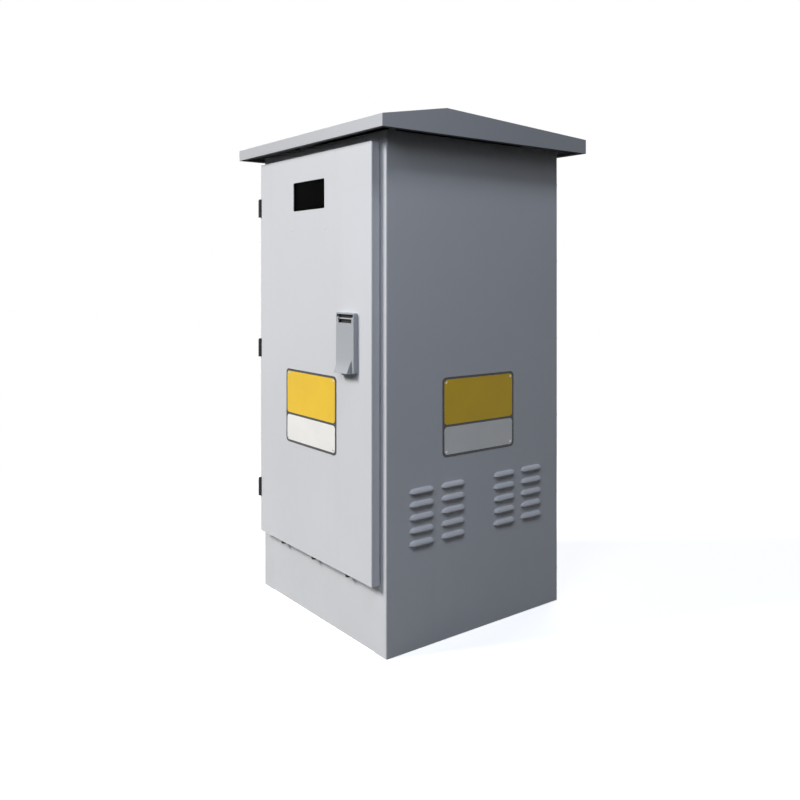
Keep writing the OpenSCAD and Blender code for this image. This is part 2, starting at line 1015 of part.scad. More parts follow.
module lock_base() {
    inside_w = lock_w - 2 * base_wall;
    color(paint) difference() {
        at_lock() through_y(cover_y, door_y) rounded(lock_w, lock_h, lock_corner);
        at_lock() through_y(cover_y - overrun, floor_y) translate([0, (base_wall - bridge_h) / 2])
            rounded(inside_w, lock_h - base_wall - bridge_h, lock_corner / 2);
        box(
            [lock_x - lock_w, cover_y - overrun, lock_foot - overrun],
            [lock_x + lock_w, flap_y, slot_foot]
        );
        at_lock() through_y(floor_y - overrun, door_y + overrun) circle(cylinder_r + slack);
        translate([lock_x, pin_y, pin_z]) rotate([0, 90, 0])
            cylinder(h = lock_w + 2 * overrun, r = flap_pin_r + running, center = true);
    }
}

module flap_pad() {
    color(black) at_lock() through_y(floor_y - pad_t, floor_y) difference() {
        translate([0, (base_wall - bridge_h) / 2])
            rounded(
                lock_w - 2 * base_wall - lug_gap,
                lock_h - base_wall - bridge_h - lug_gap,
                lock_corner / 2
            );
        circle(collar_r + slack);
    }
}

// Finger lip: a strip that leans out of the flap, with a cheek at each end
module flap_grip() {
    top = lock_foot + grip_h;
    run = grip_t * grip_out / grip_h;
    through_x(lock_x - grip_w / 2, lock_x + grip_w / 2) polygon([
        [cover_y, top],
        [cover_y - grip_out, lock_foot + grip_t],
        [cover_y - grip_out, lock_foot],
        [cover_y - grip_out + grip_t, lock_foot],
        [cover_y + flap_t / 2, top - grip_h * grip_t / grip_out],
        [cover_y + flap_t / 2, top]
    ]);
    for (s = [-1, 1]) {
        x = lock_x + s * (grip_w / 2 - grip_t / 2);
        through_x(x - grip_t / 2, x + grip_t / 2) polygon([
            [cover_y + flap_t / 2, top],
            [cover_y, top],
            [cover_y - grip_out, lock_foot + grip_t],
            [cover_y - grip_out, lock_foot],
            [cover_y - run, lock_foot],
            [cover_y + flap_t / 2, lock_foot + grip_t]
        ]);
    }
}

module lock_flap() {
    h = slot_foot - lug_gap - lock_foot;
    lug_in = lock_w / 2 - base_wall - lug_gap - lug_w / 2;
    color(paint) difference() {
        union() {
            translate([lock_x, 0, lock_foot + h / 2])
                through_y(cover_y, flap_y) rounded(lock_w, h, lock_corner);
            flap_grip();
            for (s = [-1, 1]) translate([lock_x + s * lug_in, pin_y, pin_z]) {
                rotate([0, 90, 0]) cylinder(h = lug_w, r = eye_r, center = true);
                box(
                    [-lug_w / 2, cover_y - pin_y, slot_foot - pin_z - lock_corner],
                    [lug_w / 2, flap_y - pin_y, 0]
                );
            }
        }
        translate([lock_x, pin_y, pin_z]) rotate([0, 90, 0])
            cylinder(h = lock_w, r = flap_pin_r + running, center = true);
    }
}

module flap_pin() {
    color(steel) translate([lock_x, pin_y, pin_z]) rotate([0, 90, 0])
        cylinder(h = lock_w - lug_gap, r = flap_pin_r, center = true);
}

module lock_barrel() {
    color(zinc) at_lock() difference() {
        union() {
            through_y(floor_y - collar_t, floor_y) circle(collar_r);
            through_y(flap_y + free_gap, cam_y - free_gap) circle(cylinder_r);
        }
        through_y(cover_y, cam_y) circle(plug_r + running);
    }
}

module lock_nut() {
    color(steel) at_lock() through_y(skin_y, skin_y + nut_t) difference() {
        hexagon(nut_r);
        circle(cylinder_r + running);
    }
}

module lock_plug() {
    color(steel) at_lock() difference() {
        union() {
            through_y(flap_y + free_gap, cam_y) circle(plug_r);
            through_y(cam_y - free_gap, cam_back) square(shank, center = true);
        }
        through_y(cover_y, flap_y + free_gap + key_d) square([key_w, key_h], center = true);
        through_y(cam_y, cam_back + overrun) circle(screw_r + running);
    }
}

module drive_pins(y0, y1, r) {
    for (s = [0, 1])
        rotate([0, s * 180, 0])
            translate([drive_rise, 0, -drive_rise]) through_y(y0, y1) circle(r);
}

module lock_cam() {
    color(zinc) at_lock() difference() {
        union() {
            through_y(cam_y, cam_back) {
                circle(cam_hub_r);
                translate([-cam_w / 2, -cam_l + cam_w / 2]) square([cam_w, cam_l - cam_w / 2]);
                translate([0, -cam_l + cam_w / 2]) circle(cam_w / 2);
            }
            drive_pins(cam_back - cam_t / 2, rod_y + rod_t, drive_pin_r);
        }
        through_y(cam_y - overrun, cam_back + overrun) square(shank + running, center = true);
    }
}

module cam_screw() {
    color(steel) at_lock() {
        through_y(cam_back, cam_back + screw_head_t) circle(screw_head_r);
        through_y(cam_y + running, cam_back + screw_head_t / 2) circle(screw_r);
    }
}

// A lock rod of the given length above the lock's axis, at rest
module lock_rod(l) {
    slot_h = drive_pin_r + foot_play;
    half = foot_half + foot_wall;
    through_y(rod_y, rod_y + rod_t) difference() {
        union() {
            translate([rod_off - half, -drive_rise - slot_h - foot_wall])
                square([2 * half, 2 * (slot_h + foot_wall)]);
            translate([rod_off - rod_w / 2, -drive_rise]) square([rod_w, l + drive_rise]);
        }
        translate([rod_off, -drive_rise]) square([2 * foot_half, 2 * slot_h], center = true);
    }
    through_x(rod_off - rod_w / 2, rod_off + rod_w / 2) polygon([
        [rod_end_y, l - rod_end_h],
        [rod_y + rod_t / 2, l - rod_end_h],
        [rod_y + rod_t / 2, l],
        [rod_end_y + rod_nose, l],
        [rod_end_y, l - rod_nose]
    ]);
}

module upper_rod() {
    color(zinc) at_lock() lock_rod(upper_l);
}

module lower_rod() {
    color(zinc) at_lock() rotate([0, 180, 0]) lock_rod(lower_l);
}

module rod_guide(z) {
    translate([rod_off, 0, z - guide_h / 2]) linear_extrude(guide_h) difference() {
        translate([-guide_w / 2, skin_y])
            square([guide_w, rod_y + rod_t + slack + guide_wall - skin_y]);
        translate([-rod_w / 2 - slack, rod_y - slack]) square([rod_w + 2 * slack, rod_t + 2 * slack]);
    }
}

module rod_guides() {
    color(black) at_lock() for (share = guide_shares) {
        rod_guide(upper_l * share);
        rotate([0, 180, 0]) rod_guide(lower_l * share);
    }
}

// Switchgear

module meter_case() {
    color(pale_plastic) translate([meter_x, 0, meter_foot + meter_h / 2]) {
        through_y(plate_front - meter_d, plate_front) rounded(meter_w, meter_h, meter_corner);
        translate([0, 0, -meter_h / 2 + cover_foot / 2])
            through_y(plate_front - meter_d - cover_t / 2, plate_front - meter_d)
                rounded(meter_w - 2 * cover_edge, cover_foot - 2 * cover_edge, meter_corner / 2);
    }
}

module meter_cover() {
    front = plate_front - meter_d - cover_t;
    h = meter_h - cover_foot - cover_edge;
    color(pale_plastic) difference() {
        translate([meter_x, 0, meter_foot + cover_foot + h / 2])
            through_y(front, plate_front - meter_d) rounded(meter_w - 2 * cover_edge, h, meter_corner);
        translate([meter_x, 0, display_z])
            through_y(front - overrun, front + display_t) square([display_w, display_h], center = true);
        translate([button_x, 0, button_z]) {
            through_y(front - overrun, plate_front - meter_d + overrun) circle(button_r + running);
            through_y(front + cover_t - button_well, plate_front - meter_d + overrun)
                circle(button_flange_r + slack);
        }
    }
}

module meter_display() {
    front = plate_front - meter_d - cover_t;
    color(clear) translate([meter_x, 0, display_z]) through_y(front, front + display_t)
        square([display_w - slack, display_h - slack], center = true);
}

module meter_button() {
    front = plate_front - meter_d - cover_t;
    seat = front + cover_t - button_well;
    color(black) translate([button_x, 0, button_z]) {
        through_y(front - button_out, seat + button_flange_t) circle(button_r);
        through_y(seat, seat + button_flange_t) circle(button_flange_r);
    }
}

// Drum and lever of a switch; the drum's axis runs along X through the origin
module toggle(w) {
    rotate([0, 90, 0]) cylinder(h = w, r = drum_r, center = true);
    rotate([lever_tilt, 0, 0])
        through_x(-w / 2, w / 2)
            translate([-drum_r - lever_l, -lever_t / 2]) square([drum_r + lever_l, lever_t]);
}

module drum_hole(w) {
    rotate([0, 90, 0]) cylinder(h = w + 2 * slack, r = drum_r + slack, center = true);
}

// Breaker body: a stepped case whose nose carries the switch
breaker_depth_shares = [0.62, 0.76, 1];
breaker_height_shares = [0.14, 0.27, 0.73, 0.86];

module breaker_section(h, d) {
    z = breaker_height_shares;
    y = breaker_depth_shares;
    polygon([
        [0, 0], [-d * y[0], 0], [-d * y[0], h * z[0]], [-d * y[1], h * z[0]], [-d * y[1], h * z[1]],
        [-d * y[2], h * z[1]], [-d * y[2], h * z[2]], [-d * y[1], h * z[2]], [-d * y[1], h * z[3]],
        [-d * y[0], h * z[3]], [-d * y[0], h], [0, h]
    ]);
}

module main_breaker() {
    color(casing) difference() {
        translate([main_x, plate_front, main_foot])
            through_x(-main_w / 2, main_w / 2) breaker_section(main_h, main_d);
        translate([main_x, plate_front - main_d + drum_sink, main_drum_z]) drum_hole(main_lever_w);
        for (i = [1:poles - 1], z = [0, main_h])
            translate([main_x - main_w / 2 + i * main_w / poles, plate_front - main_d, main_foot + z])
                cube([terminal_slot, main_d, main_h * breaker_height_shares[0]], center = true);
    }
}

module main_toggle() {
    color(black) translate([main_x, plate_front - main_d + drum_sink, main_drum_z]) toggle(main_lever_w);
}

module mounting_rails() {
    h = rail_h / 2;
    color(zinc) for (z = rail_z)
        translate([0, plate_front, z]) through_x(-rail_l / 2, rail_l / 2) folded([
            [-rail_d + rail_sheet / 2, -h],
            [-rail_d + rail_sheet / 2, -h + rail_lip],
            [-rail_sheet / 2, -h + rail_lip],
            [-rail_sheet / 2, h - rail_lip],
            [-rail_d + rail_sheet / 2, h - rail_lip],
            [-rail_d + rail_sheet / 2, h]
        ], rail_sheet, rail_sheet);
}

module branch_breakers() {
    color(pale_plastic) for (x = branch_x) difference() {
        translate([x, rail_front, branch_drum_z - branch_h / 2])
            through_x(-poles * pole_w / 2, poles * pole_w / 2) breaker_section(branch_h, branch_d);
        translate([x, rail_front - branch_d + drum_sink, branch_drum_z]) drum_hole(branch_lever_w);
    }
}

module branch_toggle(i) {
    color(dark_paint) translate([branch_x[i], rail_front - branch_d + drum_sink, branch_drum_z])
        toggle(branch_lever_w);
}

module left_toggle() { branch_toggle(0); }
module right_toggle() { branch_toggle(1); }

module terminal_strip() {
    l = terminals * terminal_w;
    y0 = rail_front - terminal_d;
    color(pale_plastic) translate([0, 0, rail_z[1]]) difference() {
        box([-l / 2, y0, -terminal_h / 2], [l / 2, rail_front, terminal_h / 2]);
        for (s = [-1, 1])
            translate([0, y0, s * terminal_h / 2])
                cube([l + overrun, terminal_d / 2, terminal_h / 2], center = true);
        for (i = [1:terminals - 1])
            translate([i * terminal_w - l / 2, y0, 0])
                cube([terminal_slot, terminal_d / 4, terminal_h + overrun], center = true);
    }
}

module earth_bar() {
    y1 = plate_front - bar_post_l;
    color(copper) translate([0, 0, bar_z]) {
        through_y(y1 - bar_t, y1) square([bar_l, bar_h], center = true);
        for (s = [-1, 1])
            translate([s * (bar_l / 2 - bar_post_r), 0, 0]) through_y(y1, plate_front) circle(bar_post_r);
        for (i = [0:bar_screws - 1])
            translate([(i - (bar_screws - 1) / 2) * bar_l / bar_screws, 0, 0])
                through_y(y1 - bar_t - bar_screw_t, y1 - bar_t) circle(bar_screw_r);
    }
}

left_side_panel();
right_side_panel();
back_panel();
back_rivets();
plinth_panel();
header_rail();
top_plate();
roof();
roof_spacers();
roof_bolts();
floor_plate();
gland_plate();
cable_glands();
gland_locknuts();
left_vent_filter();
right_vent_filter();
mounting_plate();
plate_standoffs();
plate_nuts();
top_frame_leaf();
top_door_leaf();
top_hinge_pin();
middle_frame_leaf();
middle_door_leaf();
middle_hinge_pin();
bottom_frame_leaf();
bottom_door_leaf();
bottom_hinge_pin();
door_panel();
door_stiffeners();
door_gasket();
door_drains();
window_seal();
window_pane();
window_retainer();
window_nuts();
lock_base();
flap_pad();
lock_flap();
flap_pin();
lock_barrel();
lock_nut();
lock_plug();
lock_cam();
cam_screw();
upper_rod();
lower_rod();
rod_guides();
meter_case();
meter_cover();
meter_display();
meter_button();
main_breaker();
main_toggle();
mounting_rails();
branch_breakers();
left_toggle();
right_toggle();
terminal_strip();
earth_bar();
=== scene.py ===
import json
import math

import bmesh
import bpy
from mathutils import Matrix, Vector

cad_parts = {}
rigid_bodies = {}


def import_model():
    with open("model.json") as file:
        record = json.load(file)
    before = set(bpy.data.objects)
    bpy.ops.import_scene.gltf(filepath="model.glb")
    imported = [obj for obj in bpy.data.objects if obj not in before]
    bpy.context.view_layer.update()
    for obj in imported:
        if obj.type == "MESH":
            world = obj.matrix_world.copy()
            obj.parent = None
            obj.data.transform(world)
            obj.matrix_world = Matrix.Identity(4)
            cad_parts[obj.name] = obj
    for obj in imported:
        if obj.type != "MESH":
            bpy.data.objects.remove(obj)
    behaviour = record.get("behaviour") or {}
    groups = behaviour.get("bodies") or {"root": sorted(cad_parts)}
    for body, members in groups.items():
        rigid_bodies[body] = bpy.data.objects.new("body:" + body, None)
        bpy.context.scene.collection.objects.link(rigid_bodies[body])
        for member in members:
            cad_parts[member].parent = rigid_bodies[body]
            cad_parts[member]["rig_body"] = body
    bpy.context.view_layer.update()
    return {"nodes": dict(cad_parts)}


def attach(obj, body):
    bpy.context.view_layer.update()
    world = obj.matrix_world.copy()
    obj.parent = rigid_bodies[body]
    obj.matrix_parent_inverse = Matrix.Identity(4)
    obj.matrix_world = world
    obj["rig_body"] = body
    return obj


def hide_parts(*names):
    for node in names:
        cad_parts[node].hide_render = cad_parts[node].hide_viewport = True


for leftover in list(bpy.data.objects):
    bpy.data.objects.remove(leftover)
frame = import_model()
cadNodes = frame["nodes"]
scene = bpy.context.scene
scene.view_settings.view_transform = "Standard"
print("frame loaded:", len(cadNodes), "nodes")


def newObject(name, data):
    made = bpy.data.objects.new(name, data)
    scene.collection.objects.link(made)
    return made


# camera, level and fitted to the edges of the cabinet
cameraSet = {
    "place": (1.84435, -1.4549, 0.90887),
    "turn": 53.03,
    "sensor": 36,
    "lens": 36.675,
    "shift": (0.0139, -0.155),
}
camData = bpy.data.cameras.new("photoCamera")
camData.sensor_fit = "HORIZONTAL"
camData.sensor_width = cameraSet["sensor"]
camData.lens = cameraSet["lens"]
camData.shift_x, camData.shift_y = cameraSet["shift"]
cam = newObject("photoCamera", camData)
cam.location = cameraSet["place"]
cam.rotation_euler = (math.radians(90), 0, math.radians(cameraSet["turn"]))
scene.camera = cam
print("camera set")


# a socket takes a plain value, a node's first output, or a pair of node and output
def feed(tree, source, socket):
    if isinstance(source, bpy.types.Node):
        source = (source, 0)
    if isinstance(source, tuple) and isinstance(source[0], bpy.types.Node):
        tree.links.new(source[0].outputs[source[1]], socket)
    else:
        socket.default_value = source


def setInputs(tree, node, **inputs):
    for name, source in inputs.items():
        feed(tree, source, node.inputs[name.replace("_", " ")])


# sources go to the first inputs in order, the others by name
def addNode(tree, kind, *sources, settings=None, **inputs):
    made = tree.nodes.new(kind)
    for name, value in (settings or {}).items():
        setattr(made, name, value)
    for i, source in enumerate(sources):
        feed(tree, source, made.inputs[i])
    setInputs(tree, made, **inputs)
    return made


def mathOf(tree, operation, first, second):
    return addNode(tree, "ShaderNodeMath", first, second, settings={"operation": operation})


def vectorOf(tree, x=0.0, y=0.0, z=0.0):
    return addNode(tree, "ShaderNodeCombineXYZ", x, y, z)


def noiseOn(tree, coord, scale, detail=3.0, rough=0.5, stretch=None):
    place = (coord, "Object")
    if stretch:
        place = addNode(tree, "ShaderNodeMapping", place, Scale=stretch)
    return addNode(tree, "ShaderNodeTexNoise", Vector=place, Scale=scale, Detail=detail, Roughness=rough)


midBand = (0.3, 0.7)  # where most of a noise lies


def rangeOf(tree, source, band, toLow=0, toHigh=1):
    return addNode(tree, "ShaderNodeMapRange", source, settings={"interpolation_type": "SMOOTHSTEP"},
                   From_Min=band[0], From_Max=band[1], To_Min=toLow, To_Max=toHigh)


def mixColour(tree, factor, first, second):
    made = addNode(tree, "ShaderNodeMix", factor, settings={"data_type": "RGBA"})
    for socket, colour in ((6, first), (7, second)):  # its two colour inputs
        plainColour = not isinstance(colour[0], bpy.types.Node)
        feed(tree, (*colour, 1) if plainColour else colour, made.inputs[socket])
    return made, 2  # its colour output


def tone(colour, share):
    return tuple(min(1.0, part * share) for part in colour)


# a colour that drifts with a noise between a darker and a paler tone
def drifting(tree, noise, colour, spread, band=midBand):
    return mixColour(tree, rangeOf(tree, noise, band), tone(colour, 1 - spread), tone(colour, 1 + spread))


def roughFrom(tree, noise, look):
    low, high = (look["roughness"] + part for part in look["roughSpread"])
    return rangeOf(tree, noise, midBand, low, high)


# heights: rows of source, strength and depth
def bumpInto(tree, shader, *heights):
    last = None
    for source, strength, depth in heights:
        bump = addNode(tree, "ShaderNodeBump", Height=source, Strength=strength, Distance=depth)
        if last:
            setInputs(tree, bump, Normal=last)
        last = bump
    setInputs(tree, shader, Normal=last)


def newFinish(name):
    finish = bpy.data.materials.new(name)
    finish.use_nodes = True
    tree = finish.node_tree
    shader = tree.nodes["Principled BSDF"]
    coord = tree.nodes.new("ShaderNodeTexCoord")
    return finish, tree, shader, coord


# powder coat: mottled tone, faint runs of rain, dust near the ground, orange peel, chips where worn
def powderCoat(name, look, chipped=False):
    finish, tree, shader, coord = newFinish(name)
    mottle = noiseOn(tree, coord, look["mottleScale"], detail=5)
    body = drifting(tree, mottle, look["colour"], look["mottle"])
    runs = noiseOn(tree, coord, look["runScale"], detail=4, rough=0.6, stretch=look["runStretch"])
    rained = mixColour(tree, rangeOf(tree, runs, look["runBand"], 0, look["runs"]), body, look["dirt"])
    height = addNode(tree, "ShaderNodeSeparateXYZ", (coord, "Object"))
    low = rangeOf(tree, (height, "Z"), (0, look["dustTop"]), 1, 0)
    cloud = noiseOn(tree, coord, look["cloudScale"], detail=6, rough=0.65)
    patchy = mathOf(tree, "MULTIPLY", low, rangeOf(tree, cloud, look["cloudBand"], look["cloudLeast"], 1))
    colour = mixColour(tree, mathOf(tree, "MULTIPLY", patchy, look["dust"]), rained, look["dirt"])
    rough = roughFrom(tree, noiseOn(tree, coord, look["roughScale"], detail=4), look)
    if chipped:
        chips = noiseOn(tree, coord, look["chipScale"], detail=6, rough=0.7)
        bare = rangeOf(tree, chips, (look["chipFrom"], look["chipFrom"] + look["chipFade"]))
        colour = mixColour(tree, bare, colour, look["bare"])
        worn = rangeOf(tree, chips, (look["wornFrom"], look["chipFrom"]), 0, look["worn"])
        rough = mathOf(tree, "SUBTRACT", rough, worn)
        setInputs(tree, shader, Metallic=mathOf(tree, "MULTIPLY", bare, look["bareMetal"]))
    setInputs(tree, shader, Base_Color=colour, Roughness=rough, Specular_IOR_Level=look["gloss"])
    peel = noiseOn(tree, coord, look["peelScale"], detail=2)
    wave = noiseOn(tree, coord, look["waveScale"], detail=2)
    bumpInto(tree, shader, (wave, look["wave"], look["waveDepth"]), (peel, look["peel"], look["peelDepth"]))
    return finish


cabinetPaintLook = {
    "colour": (0.600, 0.608, 0.622),
    "mottle": 0.020,
    "mottleScale": 2.6,
    "runs": 0.05,
    "runScale": 16,
    "runStretch": (1, 1, 0.035),
    "runBand": (0.55, 0.78),
    "dirt": (0.36, 0.345, 0.32),
    "dust": 0.08,
    "dustTop": 0.34,
    "cloudScale": 9,
    "cloudBand": (0.35, 0.75),
    "cloudLeast": 0.15,
    "roughness": 0.46,
    "roughScale": 70,
    "roughSpread": (-0.05, 0.06),
    "gloss": 0.22,
    "peel": 0.10,
    "peelScale": 420,
    "peelDepth": 0.0004,
    "wave": 0.15,
    "waveScale": 5,
    "waveDepth": 0.0012,
    "chipScale": 60,
    "chipFrom": 0.66,
    "chipFade": 0.03,
    "wornFrom": 0.42,
    "worn": 0.16,
    "bare": (0.30, 0.29, 0.28),
    "bareMetal": 0.7,
}
roofPaintLook = dict(
    cabinetPaintLook, colour=(0.465, 0.471, 0.481), roughness=0.60, gloss=0.14, peel=0.05, dust=0.0)
lockPaintLook = dict(
    cabinetPaintLook, colour=(0.364, 0.380, 0.394), roughness=0.40, dust=0.0, waveDepth=0.0006, peel=0.06)
# painted shade: a dark, dull grey for the roof's underside, standing in for the shade under the overhang
paintedShadeLook = dict(
    cabinetPaintLook, colour=(0.20, 0.20, 0.20), roughness=0.85, gloss=0.0, dirt=(0.12, 0.115, 0.11))
hingePaintLook = dict(
    cabinetPaintLook, colour=(0.022, 0.022, 0.024), mottle=0.15, dirt=(0.10, 0.095, 0.09), runs=0.10,
    roughness=0.44, waveDepth=0.0004, chipFrom=0.70, bare=(0.32, 0.31, 0.30))


# rolled or plated metal: spangle and stains in the tone, fine drawn lines
def platedMetal(name, look):
    finish, tree, shader, coord = newFinish(name)
    spangle = addNode(tree, "ShaderNodeTexVoronoi", Vector=(coord, "Object"), Scale=look["spangleScale"])
    cell = addNode(tree, "ShaderNodeSeparateColor", (spangle, "Color"))
    body = drifting(tree, cell, look["colour"], look["spangle"], (0, 1))
    stain = noiseOn(tree, coord, look["stainScale"], detail=6, rough=0.65)
    mask = rangeOf(tree, stain, look["stainBand"], 0, look["stain"])
    stained = mixColour(tree, mask, body, look["stainColour"])
    lines = noiseOn(tree, coord, look["lineScale"], stretch=look["lineStretch"])
    setInputs(tree, shader, Base_Color=stained, Roughness=roughFrom(tree, lines, look), Metallic=1)
    bumpInto(tree, shader, (lines, look["lines"], look["lineDepth"]))
    return finish


zincLook = {
    "colour": (0.40, 0.41, 0.425),
    "spangle": 0.06,
    "spangleScale": 85,
    "stain": 0.30,
    "stainScale": 7,
    "stainBand": (0.5, 0.75),
    "stainColour": (0.32, 0.32, 0.315),
    "lines": 0.10,
    "lineScale": 60,
    "lineStretch": (1, 1, 8),
    "lineDepth": 0.0002,
    "roughness": 0.42,
    "roughSpread": (-0.08, 0.10),
}
hardwareLook = dict(zincLook, colour=(0.23, 0.235, 0.245), spangle=0.03, stain=0.40, roughness=0.36)
railLook = dict(
    zincLook, colour=(0.40, 0.355, 0.225), spangle=0.03, stainColour=(0.30, 0.27, 0.20), roughness=0.34)
steelLook = dict(
    zincLook, colour=(0.36, 0.36, 0.37), spangle=0.04, spangleScale=300, roughness=0.34, stain=0.35)
copperLook = dict(
    zincLook, colour=(0.60, 0.34, 0.20), spangle=0.05, spangleScale=25, stainColour=(0.30, 0.17, 0.11),
    stain=0.55, stainScale=28, lineStretch=(0.3, 6, 6), roughness=0.36)


# moulded plastic and rubber: faint tone drift, a film of dust, fine grain
def mouldedFinish(name, look):
    finish, tree, shader, coord = newFinish(name)
    body = drifting(tree, noiseOn(tree, coord, look["driftScale"], detail=4), look["colour"], look["drift"])
    film = noiseOn(tree, coord, look["filmScale"], detail=6, rough=0.7)
    mask = rangeOf(tree, film, look["filmBand"], 0, look["film"])
    filmed = mixColour(tree, mask, body, look["filmColour"])
    grain = noiseOn(tree, coord, look["grainScale"], detail=2)
    setInputs(tree, shader, Base_Color=filmed, Roughness=roughFrom(tree, grain, look))
    bumpInto(tree, shader, (grain, look["grain"], look["grainDepth"]))
    return finish


blackPlasticLook = {
    "colour": (0.028, 0.028, 0.030),
    "drift": 0.12,
    "driftScale": 12,
    "film": 0.06,
    "filmScale": 35,
    "filmBand": (0.48, 0.8),
    "filmColour": (0.20, 0.20, 0.19),
    "grain": 0.18,
    "grainScale": 900,
    "grainDepth": 0.0003,
    "roughness": 0.48,
    "roughSpread": (-0.07, 0.07),
}
darkPlasticLook = dict(blackPlasticLook, colour=(0.085, 0.088, 0.095))
palePlasticLook = dict(
    blackPlasticLook, colour=(0.66, 0.655, 0.61), drift=0.03, film=0.05, filmColour=(0.45, 0.42, 0.36))
rubberLook = dict(
    blackPlasticLook, colour=(0.020, 0.020, 0.020), film=0.22, filmColour=(0.13, 0.125, 0.115),
    grain=0.35, grainScale=520, roughness=0.78)


# coated plates and the lenses of the meter's lamps, filmed with a darker tone of their own colour
plateLook = dict(blackPlasticLook, drift=0.03, film=0.10, filmTone=0.75, grain=0.08)
plateColours = {
    "amberPlate": (0.78, 0.50, 0.020),
    "palePlate": (0.80, 0.79, 0.75),
    "rimPlate": (0.030, 0.030, 0.032),
    "redLens": (0.42, 0.022, 0.016),
}


def plateFinish(name):
    colour = plateColours[name]
    filmColour = tone(colour, plateLook["filmTone"])
    return mouldedFinish(name, dict(plateLook, colour=colour, filmColour=filmColour))


feltLook = {
    "colour": (0.085, 0.086, 0.092),
    "fibre": (0.20, 0.20, 0.20),
    "fibreScale": 260,
    "fibreBand": (0.5, 0.75),
    "squash": 0.12,
    "bump": 0.6,
    "depth": 0.0015,
    "roughness": 0.95,
}


def feltFinish(name, look):
    finish, tree, shader, coord = newFinish(name)
    across = noiseOn(tree, coord, look["fibreScale"], detail=4, rough=0.6, stretch=(1, look["squash"], 1))
    along = noiseOn(tree, coord, look["fibreScale"], detail=4, rough=0.6, stretch=(1, 1, look["squash"]))
    fibres = mathOf(tree, "MAXIMUM", across, along)
    body = mixColour(tree, rangeOf(tree, fibres, look["fibreBand"]), look["colour"], look["fibre"])
    setInputs(tree, shader, Base_Color=body, Roughness=look["roughness"])
    bumpInto(tree, shader, (fibres, look["bump"], look["depth"]))
    return finish


paneLook = {
    "tint": (0.14, 0.155, 0.15),
    "dull": 0.94,
    "clear": 0.01,
    "smear": 0.10,
    "smearScale": 18,
    "smearStretch": (1, 1, 0.4),
    "smearBand": (0.45, 0.75),
    "index": 1.05,
}


def paneFinish(name, look):
    finish, tree, shader, coord = newFinish(name)
    smear = noiseOn(tree, coord, look["smearScale"], detail=5, rough=0.6, stretch=look["smearStretch"])
    rough = rangeOf(tree, smear, look["smearBand"], look["clear"], look["smear"])
    tint = mixColour(tree, rangeOf(tree, smear, midBand), tone(look["tint"], look["dull"]), look["tint"])
    setInputs(tree, shader, Base_Color=tint, Roughness=rough, Transmission_Weight=1, IOR=look["index"])
    return finish


displayLook = {
    "colour": (0.200, 0.235, 0.185),
    "stripe": (0.165, 0.198, 0.155),
    "lineScale": 420,
    "fleckScale": 40,
    "roughness": (0.10, 0.20),
}


def displayFinish(name, look):
    finish, tree, shader, coord = newFinish(name)
    lines = addNode(tree, "ShaderNodeTexWave", (coord, "Object"), settings={"bands_direction": "Z"},
                    Scale=look["lineScale"])
    fleck = noiseOn(tree, coord, look["fleckScale"])
    body = mixColour(tree, mathOf(tree, "MULTIPLY", lines, fleck), look["colour"], look["stripe"])
    setInputs(tree, shader, Base_Color=body, Roughness=rangeOf(tree, fleck, midBand, *look["roughness"]))
    return finish


cabinetPaint = powderCoat("cabinetPaint", cabinetPaintLook)
cabinetPaintEdge = powderCoat("cabinetPaintEdge", cabinetPaintLook, chipped=True)
roofPaint = powderCoat("roofPaint", roofPaintLook)
roofPaintEdge = powderCoat("roofPaintEdge", roofPaintLook, chipped=True)
lockPaint = powderCoat("lockPaint", lockPaintLook)
lockPaintEdge = powderCoat("lockPaintEdge", dict(lockPaintLook, chipFrom=0.70), chipped=True)
paintedShadeUnder = powderCoat("paintedShadeUnder", paintedShadeLook)
hingePaint = powderCoat("hingePaint", hingePaintLook)
hingePaintEdge = powderCoat("hingePaintEdge", hingePaintLook, chipped=True)
zincPlate = platedMetal("zincPlate", zincLook)
hardwareZinc = platedMetal("hardwareZinc", hardwareLook)
railZinc = platedMetal("railZinc", railLook)
plainSteel = platedMetal("plainSteel", steelLook)
copperBar = platedMetal("copperBar", copperLook)
blackPlastic = mouldedFinish("blackPlastic", blackPlasticLook)
darkPlastic = mouldedFinish("darkPlastic", darkPlasticLook)
palePlastic = mouldedFinish("palePlastic", palePlasticLook)
blackRubber = mouldedFinish("blackRubber", rubberLook)
amberPlate = plateFinish("amberPlate")
palePlate = plateFinish("palePlate")
rimPlate = plateFinish("rimPlate")
redLens = plateFinish("redLens")
filterFelt = feltFinish("filterFelt", feltLook)
clearPane = paneFinish("clearPane", paneLook)
meterGlass = displayFinish("meterGlass", displayLook)

slotFinish = {
    "paint": cabinetPaint,
    "hinge_black": hingePaint,
    "zinc": zincPlate,
    "steel": plainSteel,
    "rubber": blackRubber,
    "filter": filterFelt,
    "pane": clearPane,
    "black_plastic": blackPlastic,
    "dark_plastic": darkPlastic,
    "pale_plastic": palePlastic,
    "display": meterGlass,
    "copper": copperBar,
}
slotOf = {}
for nodeName, cadNode in cadNodes.items():
    slotOf[nodeName] = cadNode.material_slots[0].material.name
    cadNode.material_slots[0].material = slotFinish[slotOf[nodeName]]
print("finishes made:", len(bpy.data.materials))


# corners of a CAD node's box, in metres
def boxOf(nodeName):
    points = [cadNodes[nodeName].matrix_world @ Vector(corner) for corner in cadNodes[nodeName].bound_box]
    low = Vector([min(point[i] for point in points) for i in range(3)])
    high = Vector([max(point[i] for point in points) for i in range(3)])
    return low, high


def midOf(nodeName):
    low, high = boxOf(nodeName)
    return (low + high) / 2


# places in the middles of equal parts of a length
def evenPlaces(low, high, count):
    step = (high - low) / count
    return [low + (i + 0.5) * step for i in range(count)]


mergeSet = {"gap": 0.00002, "flat": math.radians(0.5)}
softRule = {"angle": math.radians(35), "weight": 100}


